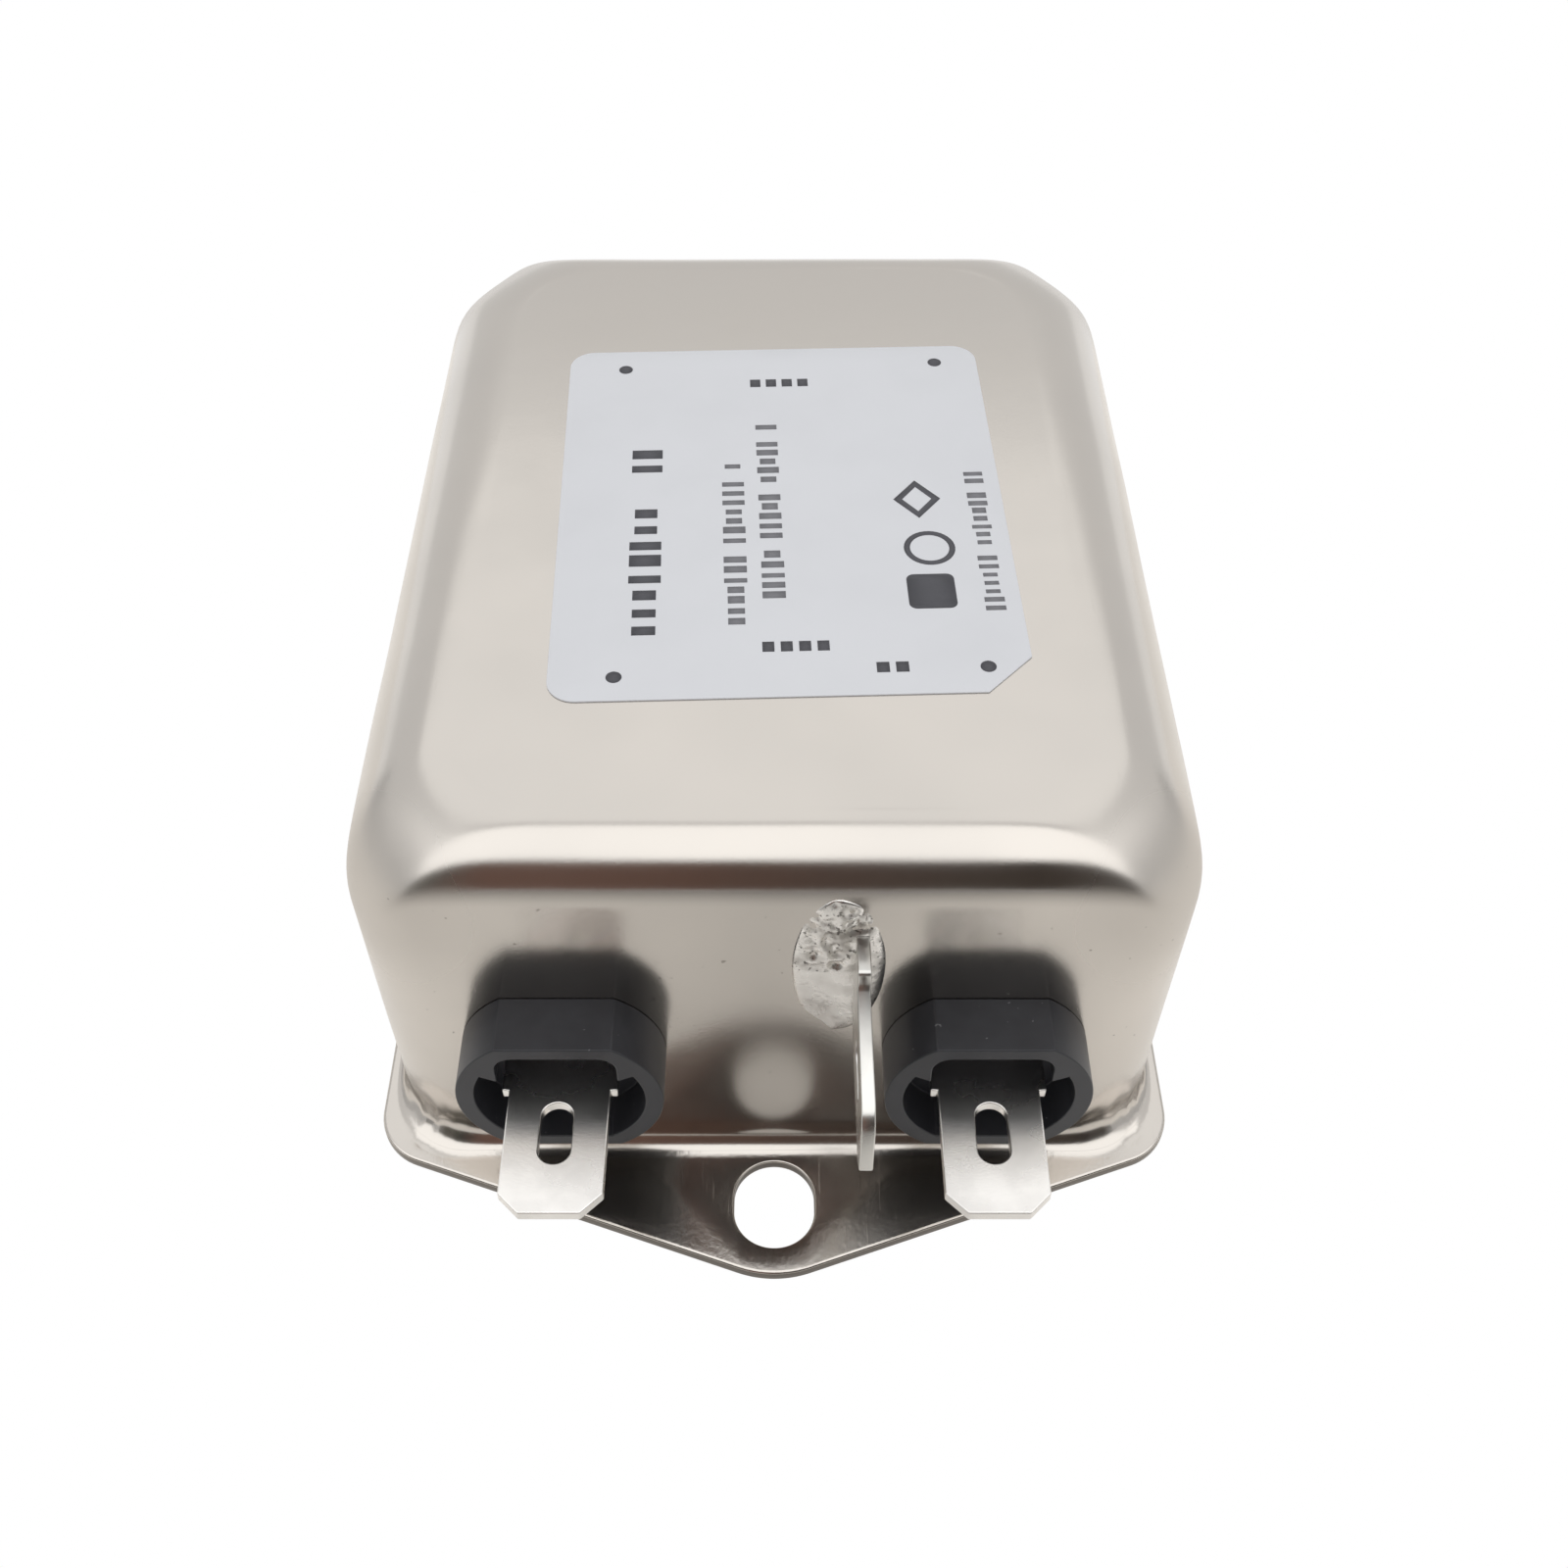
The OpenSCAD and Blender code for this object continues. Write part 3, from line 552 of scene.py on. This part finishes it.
def slot_loop(centre_y, width=SLOT_W, length=SLOT_L):
    """Counter-clockwise outline of a slot that is longer along Y."""
    reach = (length - width) / 2
    return (arc(0, centre_y + reach, width / 2, 0, 180, 32)
            + arc(0, centre_y - reach, width / 2, 180, 360, 32))


# Dents at the foot of the near corners: x, y, z, radius and depth of each in millimetres
PITS = ((-24.2, -33.2, 1.0, 0.45, 0.25), (-24.6, -30.6, 2.0, 0.5, 0.16),
        (-23.4, -31.9, 1.6, 0.4, 0.16), (24.6, -32.4, 1.1, 0.5, 0.14),
        (24.4, -30.8, 2.2, 0.45, 0.12))


def draw_marks(point, normal):
    """Relief that drawing left in the sheet: slow waves, flutes at the foot of the corners, and
    small dents at the near ones."""
    wave_depth, ripple_depth, flute_depth = 0.05, 0.012, 0.07
    flute_top, flutes_round = 8 * MM, 22
    relief = (noise.noise(point / (14 * MM)) * wave_depth
              + noise.noise(point / (4.5 * MM)) * ripple_depth)
    corner = abs(normal.x * normal.y) * 2                # 1 in the middle of a corner
    low = max(0.0, 1 - point.z / flute_top) ** 1.5       # 0 above the flutes
    angle = math.atan2(normal.y, normal.x)
    flutes = math.sin(angle * flutes_round + 5 * noise.noise(point / (3 * MM)))
    flutes += 1.2 * noise.noise(point / (0.9 * MM))
    relief += flute_depth * corner * low * flutes
    for x, y, z, radius, depth in PITS:
        away = (point - Vector((x, y, z)) * MM).length / (radius * MM)
        relief -= depth * math.exp(-away * away)
    return relief * MM


def make_can(material):
    """The can and its flange as one skin: outside, inside, mounting slots and terminal holes."""
    shell = Shell()
    insets = [s * MM for s in (19, 17, 14, 10, 7, 4.5, 2.5, 1.2, 0.5, 0.15)]
    outer = top_rings(shell, 0, insets, 20)
    shell.fill(outer[0])
    outer += wall_rings(shell, 0, BENDS, 46, 10)
    shell.stack(outer)
    first_marked, first_plain = outer[len(insets)][0], outer[-1][0]

    top_edge, low_edge = shell.rim(flange_outline(), SHEET, 0, top_r=0.24 * MM, bottom_r=0.1 * MM,
                                   side=1)
    slots = [shell.rim(slot_loop(y), SHEET, 0, top_r=0.12 * MM, bottom_r=0.08 * MM, side=-1)
             for y in (SLOT_Y, -SLOT_Y)]
    shell.fill(top_edge, [outer[-1], *[s[0] for s in slots]])

    inner = top_rings(shell, SHEET, [s * MM for s in (19, 12, 5, 1)], 8)
    shell.fill(inner[0])
    inner += wall_rings(shell, SHEET, [bend + SHEET for bend in BENDS], 8, 8)
    shell.stack(inner)
    shell.fill(low_edge, [inner[-1], *[s[1] for s in slots]])

    piece = shell.build("can_skin", material)
    shaped = piece.data.vertices[first_marked:first_plain]
    moves = [vertex.normal * draw_marks(vertex.co, vertex.normal) for vertex in shaped]
    for vertex, move in zip(shaped, moves):
        vertex.co += move
    for end in (-1, 1):
        for side in (-1, 1):
            cut(piece, NECK_R, 4 * MM, (side * TERMINAL_X, end * (END_Y - SHEET / 2), TERMINAL_Z))
    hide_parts("can")


# ---- label ----

LABEL_LIFT = 0.1 * MM                       # thickness of the film
LABEL_X = 15 * MM                           # half the label's width, half its length, the radius
LABEL_Y = 18.3 * MM                         # of its corners, and how far the fourth is cut back
LABEL_R = 1.8 * MM
LABEL_CUT = 3 * MM
LABEL_TURN = math.radians(1.9)              # it is stuck on a little askew
LABEL_PLACE = (Matrix.Translation((0.5 * MM, -1.2 * MM, CAN_H))
               @ Matrix.Rotation(LABEL_TURN, 4, "Z"))
INK_T = 0.012 * MM                          # thickness of the ink


def label_loop():
    """Outline of the label: three rounded corners and a cut one."""
    x, y, r = LABEL_X, LABEL_Y, LABEL_R
    return (arc(x - r, y - r, r, 0, 90, 10) + arc(r - x, y - r, r, 90, 180, 10)
            + arc(r - x, r - y, r, 180, 270, 10) + [(x - LABEL_CUT, -y), (x, LABEL_CUT - y)])


def make_label(film_material, ink, thin_ink):
    """The film, and plain marks in two inks that stand for its print, placed in millimetres."""
    shell = Shell()
    faces = shell.rim(label_loop(), LABEL_LIFT, 0, top_r=0.03 * MM, bottom_r=0.01 * MM, side=1,
                      steps=2)
    for ring in faces:
        shell.fill(ring)
    label = shell.build("label_sheet", film_material, LABEL_PLACE)
    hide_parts("label")

    bold, thin = Shell(), Shell()

    def patch(loop, holes=(), marks=bold):
        """A flat patch of ink with holes in it."""
        layers = []
        for z in (LABEL_LIFT + INK_T, LABEL_LIFT):
            rings = [marks.ring([(x * MM, y * MM) for x, y in part], z) for part in (loop, *holes)]
            marks.fill(rings[0], rings[1:])
            layers.append(rings)
        for top_ring, low_ring in zip(*layers):
            marks.bridge(top_ring, low_ring)

    def box(x0, y0, x1, y1, marks=bold):
        patch([(x0, y0), (x1, y0), (x1, y1), (x0, y1)], (), marks)

    def row(x, y, end, height, pitch, word, seed, marks):
        """A row of short bars along Y that stands for a line of print. Its pitch is a share of its
        height, and a bar is left out after each word."""
        draw = random.Random(seed)
        count = 0
        step = pitch * height
        while y + step < end:
            if count % word != word - 1:
                length = step * draw.uniform(0.42, 0.72)
                share = draw.choice((1, 1, 0.72))
                box(x - height / 2 * share, y, x + height / 2 * share, y + length, marks)
            y += step
            count += 1

    row(-9.15, -12.6, 0.8, height=2.1, pitch=0.78, word=9, seed=3, marks=bold)
    row(-9.15, 3.8, 7.2, height=2.1, pitch=0.72, word=9, seed=4, marks=bold)
    row(-3.25, -11.8, 6.0, height=1.5, pitch=0.66, word=8, seed=5, marks=thin)
    row(-0.8, -9.4, 9.8, height=1.5, pitch=0.66, word=6, seed=6, marks=thin)
    row(13.3, -11.0, 4.2, height=1.3, pitch=0.62, word=8, seed=7, marks=thin)

    dot_r = 0.5
    for x, y in ((-10.9, -16.3), (-10.9, 16.0), (12.2, -16.1), (11.9, 16.2)):
        patch(arc(x, y, dot_r, 0, 350, 20))
    for x, y in ((0.4, -13.9), (0.3, 14.0)):
        for i in range(4):
            box(x + 1.15 * i - 2.1, y - 0.45, x + 1.15 * i - 1.35, y + 0.45)
    for x in (5.3, 6.5):
        box(x, -16.4, x + 0.8, -15.5)

    right, left, low, high, corner_r = 10.4, 8.3, -10.2, -7.9, 0.5
    patch(arc(right, low, corner_r, 270, 360, 5) + arc(right, high, corner_r, 0, 90, 5)
          + arc(left, high, corner_r, 90, 180, 5) + arc(left, low, corner_r, 180, 270, 5))
    patch(arc(9.6, -4.8, 1.7, 0, 350, 36), [arc(9.6, -4.8, 1.3, 0, 350, 36)])
    patch([(9.2, -1.7), (10.8, 0.3), (9.2, 2.3), (7.6, 0.3)],
          [[(9.2, -1.0), (10.2, 0.3), (9.2, 1.6), (8.2, 0.3)]])
    for marks, name, material in ((bold, "label_print", ink), (thin, "label_fine_print", thin_ink)):
        printed = marks.build(name, material, LABEL_PLACE)


# ---- earth blade and its weld ----

WELD_X = 3.85 * MM                          # middle of the weld, and half its width and height
WELD_Z = 20.6 * MM
WELD_HALF = (2.8 * MM, 6.5 * MM)
# A drawing in XY stands on the end wall with its Z towards -Y, or upright with its Z towards +X
ON_END = Matrix(((1, 0, 0, 0), (0, 0, -1, 0), (0, 1, 0, 0), (0, 0, 0, 1)))
UPRIGHT = Matrix(((0, 0, 1, 0), (1, 0, 0, 0), (0, 1, 0, 0), (0, 0, 0, 1)))


def weld_pits():
    """Centre of each pit, as shares of the weld's half width and half height, and its size as a
    share of the half width."""
    draw = random.Random(11)
    pits = []
    for count, across, up, size in ((46, (-0.75, 0.25), (0.0, 0.85), (0.05, 0.13)),
                                    (16, (-0.6, 0.9), (0.55, 0.95), (0.06, 0.12))):
        pits += [(draw.uniform(*across), draw.uniform(*up), draw.uniform(*size))
                 for _ in range(count)]
    return pits


def weld_height(u, v, share, pits):
    """Height of the weld in millimetres. u and v are shares of its half width and half height, and
    share is 0 in the middle and 1 at the outline."""
    dome, lump, bowl_depth, pit_depth, notch_depth = 0.30, 0.05, 0.16, 0.13, 0.32
    slim = 2.3                                           # about how much taller than wide it is
    height = dome * math.sqrt(max(0.0, 1 - share ** 4))
    spot = Vector((u * WELD_HALF[0], v * WELD_HALF[1], 0)) / MM
    height += lump * noise.noise(spot * 0.9) * (1 - share)
    bowl = ((u + 0.55) / 0.45) ** 2 + ((v + 0.95) / 0.38) ** 2
    height -= bowl_depth * math.exp(-bowl * bowl)
    for pit_u, pit_v, size in pits:
        near = ((u - pit_u) / size) ** 2 + ((v - pit_v) * slim / size) ** 2
        if near < 4:
            height -= pit_depth * math.exp(-near)
    notch = ((u - 0.48) / 0.22) ** 2 + ((v - 0.62) / 0.07) ** 2
    height -= notch_depth * math.exp(-notch)
    return max(height, 0.0)


def make_weld(material):
    """Oval of metal that the weld raised round the blade's foot, with pits in its upper half."""
    pits = weld_pits()
    sectors, rows = 120, 42
    shell = Shell()
    rings = []
    for i in range(1, rows + 1):
        share = i / rows
        loop, heights = [], []
        for j in range(sectors):
            a = 2 * math.pi * j / sectors
            u, v = share * math.cos(a), share * math.sin(a)
            ragged = 1 + 0.03 * noise.noise(Vector((2 * math.cos(a), 2 * math.sin(a), 4.0)))
            loop.append((WELD_X + u * WELD_HALF[0] * ragged, WELD_Z + v * WELD_HALF[1] * ragged))
            heights.append(weld_height(u, v, share, pits) * MM)
        rings.append(shell.ring(loop, heights))
    shell.stack(rings)
    shell.fill(rings[0])
    back = shell.ring([shell.verts[i].xy for i in rings[-1]], -0.05 * MM)
    shell.fill(back)
    shell.bridge(rings[-1], back)
    piece = shell.build("weld_patch", material, Matrix.Translation((0, -END_Y, 0)) @ ON_END)
    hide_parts("earth_weld")


def make_earth_blade(material):
    """Upright blade with a long hole, a chamfered tip and a root that rises above it."""
    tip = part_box("earth_tab")[0].y
    low, high = EARTH_Z - BLADE_W / 2, EARTH_Z + BLADE_W / 2
    chamfer, rise, soft = 1.3 * MM, 1.8 * MM, 0.35 * MM
    root = -END_Y - 3 * MM
    sunk = -END_Y + 0.1 * MM                             # its foot ends a little inside the wall
    outline = ([(sunk, low - 0.4 * MM), (sunk, high + rise - 0.2 * MM),
                (-END_Y - 0.5 * MM, high + rise)]
               + arc(root + soft, high + rise - soft, soft, 90, 180, 5) + [(root, high)]
               + [(tip + chamfer, high), (tip + 0.15 * MM, high - chamfer + 0.1 * MM)]
               + arc(tip + 0.5 * MM, low + chamfer + 0.2 * MM, 0.5 * MM, 180, 225, 4)
               + [(tip + chamfer, low), (-END_Y - 0.9 * MM, low)])
    hole = slot_loop(0, 2 * MM, 4.2 * MM)
    hole = [(tip + 5.4 * MM + y, EARTH_Z + x) for x, y in hole][::-1]
    shell = Shell()
    edge = shell.rim(outline, BLADE_T / 2, -BLADE_T / 2, top_r=0.1 * MM, bottom_r=0.1 * MM,
                     side=1, steps=3)
    rim = shell.rim(hole, BLADE_T / 2, -BLADE_T / 2, top_r=0.12 * MM, bottom_r=0.06 * MM,
                    side=-1, steps=3)
    for outer, inner in zip(edge, rim):
        shell.fill(outer, [inner])
    piece = shell.build("earth_blade", material, Matrix.Translation((EARTH_X, 0, 0)) @ UPRIGHT)
    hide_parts("earth_tab")


# ---- stage: world, floor, cards, lamps and camera ----

def white_in_sight(tree, other):
    """White for camera, glossy and transmission rays, and another shader for the rest."""
    path = tree.nodes.new("ShaderNodeLightPath")
    total = path.outputs["Is Camera Ray"]
    for ray in ("Is Glossy Ray", "Is Transmission Ray"):
        more = tree.nodes.new("ShaderNodeMath")
        more.operation = "MAXIMUM"
        tree.links.new(total, more.inputs[0])
        tree.links.new(path.outputs[ray], more.inputs[1])
        total = more.outputs[0]
    white = tree.nodes.new("ShaderNodeEmission")
    white.inputs["Strength"].default_value = 1.0
    mix = tree.nodes.new("ShaderNodeMixShader")
    tree.links.new(total, mix.inputs["Fac"])
    tree.links.new(other, mix.inputs[1])
    tree.links.new(white.outputs[0], mix.inputs[2])
    return mix.outputs[0]


WORLD_STRENGTH = {"Is Diffuse Ray": 0.6, "Is Glossy Ray": 0.8, "Is Transmission Ray": 0.8,
                  "Is Camera Ray": 1.0}


def make_world():
    """An even room: dimmer for diffuse light than for reflections, and white for the camera."""
    world = bpy.data.worlds.new("studio")
    world.use_nodes = True
    bpy.context.scene.world = world
    tree = world.node_tree
    tree.nodes.clear()
    path = tree.nodes.new("ShaderNodeLightPath")
    strength = None
    for ray, value in WORLD_STRENGTH.items():
        share = tree.nodes.new("ShaderNodeMath")
        share.operation = "MULTIPLY_ADD"
        tree.links.new(path.outputs[ray], share.inputs[0])
        share.inputs[1].default_value = value
        share.inputs[2].default_value = 0.0
        if strength:
            tree.links.new(strength, share.inputs[2])
        strength = share.outputs[0]
    room = tree.nodes.new("ShaderNodeBackground")
    room.inputs["Color"].default_value = (1, 1, 1, 1)
    tree.links.new(strength, room.inputs["Strength"])
    out = tree.nodes.new("ShaderNodeOutputWorld")
    tree.links.new(room.outputs[0], out.inputs["Surface"])
    world.cycles.sampling_method = "NONE"


def stage_plane(name, size, place, facing, material):
    """A flat rectangle of the stage, turned to face a point."""
    bpy.ops.mesh.primitive_plane_add(size=1, location=place)
    plane = bpy.context.object
    plane.name = name
    plane.scale = (size[0], size[1], 1)
    plane.rotation_euler = (Vector(facing) - Vector(place)).to_track_quat("Z", "Y").to_euler()
    plane.data.materials.append(material)
    return plane


def make_floor():
    """Ground that looks plain white, without a shadow, and still lights the object from below."""
    material = bpy.data.materials.new("floor")
    material.use_nodes = True
    tree = material.node_tree
    shader = tree.nodes["Principled BSDF"]
    shader.inputs["Base Color"].default_value = (0.9, 0.9, 0.9, 1)
    shader.inputs["Roughness"].default_value = 0.9
    out = tree.nodes["Material Output"]
    tree.links.new(white_in_sight(tree, shader.outputs[0]), out.inputs["Surface"])
    stage_plane("floor", (4, 4), (0, 0, -0.05 * MM), (0, 0, 1), material)


CARD_REACH = 0.3                            # cards are coloured within this distance of the middle


def card_ramp(tree, value, stops):
    """Colour by a position in metres, from a list of (position, colour)."""
    ramp = tree.nodes.new("ShaderNodeValToRGB")
    while len(ramp.color_ramp.elements) < len(stops):
        ramp.color_ramp.elements.new(0.5)
    for element, (position, colour) in zip(ramp.color_ramp.elements, stops):
        element.position = position / (2 * CARD_REACH) + 0.5
        element.color = (*colour, 1)
    share = tree.nodes.new("ShaderNodeMapRange")
    share.inputs["From Min"].default_value = -CARD_REACH
    share.inputs["From Max"].default_value = CARD_REACH
    tree.links.new(value, share.inputs["Value"])
    tree.links.new(share.outputs["Result"], ramp.inputs["Fac"])
    return ramp.outputs["Color"]


def card_material(name, across, along, second_look=False, glow=0.0):
    """Matt paper for a card that only reflections see, which can also glow in its own colour: a
    painted brightening of its reflections. Its colour is the product of one that changes along X and
    one that changes along Y. With a second look it hides from first reflections, so that only metal
    seen in metal shows it."""
    material = bpy.data.materials.new(name)
    material.use_nodes = True
    tree = material.node_tree
    shader = tree.nodes["Principled BSDF"]
    shader.inputs["Roughness"].default_value = 1.0
    shader.inputs["Specular IOR Level"].default_value = 0.0
    place = tree.nodes.new("ShaderNodeNewGeometry")
    split = tree.nodes.new("ShaderNodeSeparateXYZ")
    tree.links.new(place.outputs["Position"], split.inputs[0])
    product = tree.nodes.new("ShaderNodeMixRGB")
    product.blend_type = "MULTIPLY"
    product.inputs["Fac"].default_value = 1.0
    tree.links.new(card_ramp(tree, split.outputs["X"], across), product.inputs["Color1"])
    tree.links.new(card_ramp(tree, split.outputs["Y"], along), product.inputs["Color2"])
    tree.links.new(product.outputs["Color"], shader.inputs["Base Color"])
    tree.links.new(product.outputs["Color"], shader.inputs["Emission Color"])
    # glow makes the card give off its own colour: painted light in what the metal mirrors
    shader.inputs["Emission Strength"].default_value = glow
    if second_look:
        path = tree.nodes.new("ShaderNodeLightPath")
        total = tree.nodes.new("ShaderNodeMath")
        total.operation = "ADD"
        tree.links.new(path.outputs["Glossy Depth"], total.inputs[0])
        tree.links.new(path.outputs["Is Shadow Ray"], total.inputs[1])
        twice = tree.nodes.new("ShaderNodeMath")
        twice.operation = "GREATER_THAN"
        twice.inputs[1].default_value = 1.5    # between a first and a second reflection
        tree.links.new(total.outputs[0], twice.inputs[0])
        clear = tree.nodes.new("ShaderNodeBsdfTransparent")
        mix = tree.nodes.new("ShaderNodeMixShader")
        tree.links.new(twice.outputs[0], mix.inputs["Fac"])
        tree.links.new(clear.outputs[0], mix.inputs[1])
        tree.links.new(shader.outputs[0], mix.inputs[2])
        tree.links.new(mix.outputs[0], tree.nodes["Material Output"].inputs["Surface"])
    return material


def add_card(name, size, place, facing, material, shadow=False):
    """A card that the camera and diffuse light don't see."""
    card = stage_plane(name, size, place, facing, material)
    card.visible_camera = False
    card.visible_diffuse = False
    card.visible_shadow = shadow


def add_lamp(name, power, size, place, target):
    """A softbox that shines at a target."""
    light = bpy.data.lights.new(name, "AREA")
    light.energy = power
    light.shape = "RECTANGLE"
    light.size, light.size_y = size
    lamp = bpy.data.objects.new(name, light)
    lamp.location = place
    lamp.rotation_euler = (Vector(target) - Vector(place)).to_track_quat("-Z", "Y").to_euler()
    bpy.context.scene.collection.objects.link(lamp)


def make_camera():
    """Camera in front of the line end, looking down at the can."""
    below_horizon = 48
    camera = bpy.data.objects.new("camera", bpy.data.cameras.new("camera"))
    camera.data.sensor_width = 36
    camera.data.lens = 39.9
    camera.data.shift_x = 0.00625
    camera.data.clip_start = 5 * MM
    camera.location = (0, -94 * MM, 105.2 * MM)
    camera.rotation_euler = (math.radians(90 - below_horizon), 0, 0)
    bpy.context.scene.collection.objects.link(camera)
    bpy.context.scene.camera = camera


def grey(value):
    return (value, value, value)


def cream(value):
    return (value, 0.972 * value, 0.93 * value)


PLAIN = [(0, grey(1)), (0.1, grey(1))]
BROWN_ACROSS = [(-0.29, grey(0.5)), (-0.15, (0.16, 0.15, 0.13)), (-0.07, (0.08, 0.08, 0.07)),
                (-0.042, (0.26, 0.15, 0.12)), (-0.015, (0.2, 0.12, 0.095)),
                (0.005, (0.13, 0.09, 0.075)), (0.03, (0.085, 0.07, 0.06)),
                (0.08, (0.06, 0.05, 0.045)), (0.15, (0.12, 0.11, 0.1)), (0.29, grey(0.5))]
# Painted shade on the floor card: darker in the middle, and darker away from the can towards the
# camera
FLOOR_SHADE_ACROSS = [(-0.07, cream(0.88)), (-0.026, cream(0.97)), (0, cream(0.77)),
                (0.026, cream(0.97)), (0.07, cream(0.88))]
FLOOR_SHADE_ALONG = [(-0.165, grey(0.18)), (-0.152, grey(0.28)), (-0.088, grey(0.56)),
               (-0.065, grey(0.76)), (-0.05, grey(0.88)), (-0.03, grey(0.97))]
DARK_ACROSS = [(-0.02, (0.16, 0.08, 0.06)), (0.004, (0.04, 0.035, 0.035))]
SIDE_ACROSS = [(0, grey(0.72)), (0.1, grey(0.72))]


def make_cards():
    """What the metal mirrors: a brown card before the line end, a pale one on the floor with painted
    shade and a painted glow, a dark one behind the camera for second reflections, and a grey one on
    each side."""
    add_card("front_card", (0.6, 0.136), (0, -0.17, 0.063), (0, 0, 0.04),
             card_material("brown_card", BROWN_ACROSS, PLAIN))
    # The floor card glows a little though it is no lamp: a painted brightening of the floor the
    # metal mirrors
    add_card("floor_card", (0.5, 0.24), (0, -0.045, 0.0), (0, -0.045, 1),
             card_material("glowing_shaded_floor_card", FLOOR_SHADE_ACROSS, FLOOR_SHADE_ALONG, glow=0.2))
    add_card("lens_card", (0.062, 0.15), (0, -0.11, 0.134), (0, -0.02, 0.01),
             card_material("dark_card", DARK_ACROSS, PLAIN, second_look=True), shadow=True)
    for side, name in ((-1, "left_card"), (1, "right_card")):
        add_card(name, (0.34, 0.12), (side * 0.3, 0.01, 0.055), (0, 0.01, 0.04),
                 card_material(name, SIDE_ACROSS, PLAIN))


def make_lamps():
    """One wide softbox above the line end and a weak one behind the can."""
    add_lamp("overhead", 1.87, (1.5, 0.55), (0, -0.2, 0.5), (0, -0.12, 0))
    add_lamp("rear", 0.34, (0.8, 0.4), (0, 0.33, 0.5), (0, 0, 0.015))


# ---- the scene ----

make_camera()
make_world()
make_floor()
make_cards()
make_lamps()

make_can(can_steel())

FILM_COLOUR = (0.69, 0.70, 0.73)
tinned = plain_steel("tinned_brass", (0.93, 0.91, 0.88), 0.25, 0.12 * MM, 0.006 * MM)
earth = plain_steel("earth_steel", (0.70, 0.69, 0.66), 0.26, 0.15 * MM, 0.004 * MM)
weld = weld_metal()
make_weld(weld)
make_earth_blade(earth)
make_label(film("label_film", FILM_COLOUR), moulded("print_ink", (0.06, 0.06, 0.07), 0.5),
           moulded("thin_print_ink", (0.17, 0.17, 0.185), 0.5))

# Materials of the CAD nodes by the record's slots; the can's own node is hidden by its skin
looks = {
    "base_steel": plain_steel("base_steel", (0.6, 0.58, 0.55), 0.3, 0.2 * MM, 0.004 * MM),
    "resin": moulded("resin", (0.04, 0.03, 0.025), 0.35),
    "polyester_sheet": moulded("polyester_sheet", (0.7, 0.55, 0.25), 0.4),
    "label_film": film("label_sheet_film", FILM_COLOUR),
    "bushing_plastic": moulded("bushing_plastic", (0.0205, 0.021, 0.0255), 0.42),
    "tinned_brass": tinned,
    "earth_steel": earth,
    "weld_metal": weld,
    "ferrite": moulded("ferrite", (0.03, 0.03, 0.033), 0.6),
    "divider_plastic": moulded("divider_plastic", (0.7, 0.66, 0.55), 0.45),
    "copper_wire": plain_steel("copper_wire", (0.6, 0.25, 0.1), 0.3, 0.3 * MM, 0.003 * MM),
    "x_capacitor_case": moulded("x_capacitor_case", (0.65, 0.44, 0.05), 0.35),
    "y_capacitor_coat": moulded("y_capacitor_coat", (0.05, 0.16, 0.42), 0.35),
    "resistor_coat": moulded("resistor_coat", (0.6, 0.47, 0.3), 0.4),
}
for part in frame["record"]["subparts"]:
    if part["material_slot"] in looks:
        for slot in frame["nodes"][part["node"]].material_slots:
            slot.material = looks[part["material_slot"]]

for end in ("line", "load"):
    for side in ("left", "right"):
        soften(f"{end}_bushing_{side}", 0.12 * MM)
        soften(f"{end}_tab_{side}", 0.1 * MM)

bpy.context.scene.view_settings.view_transform = "Standard"
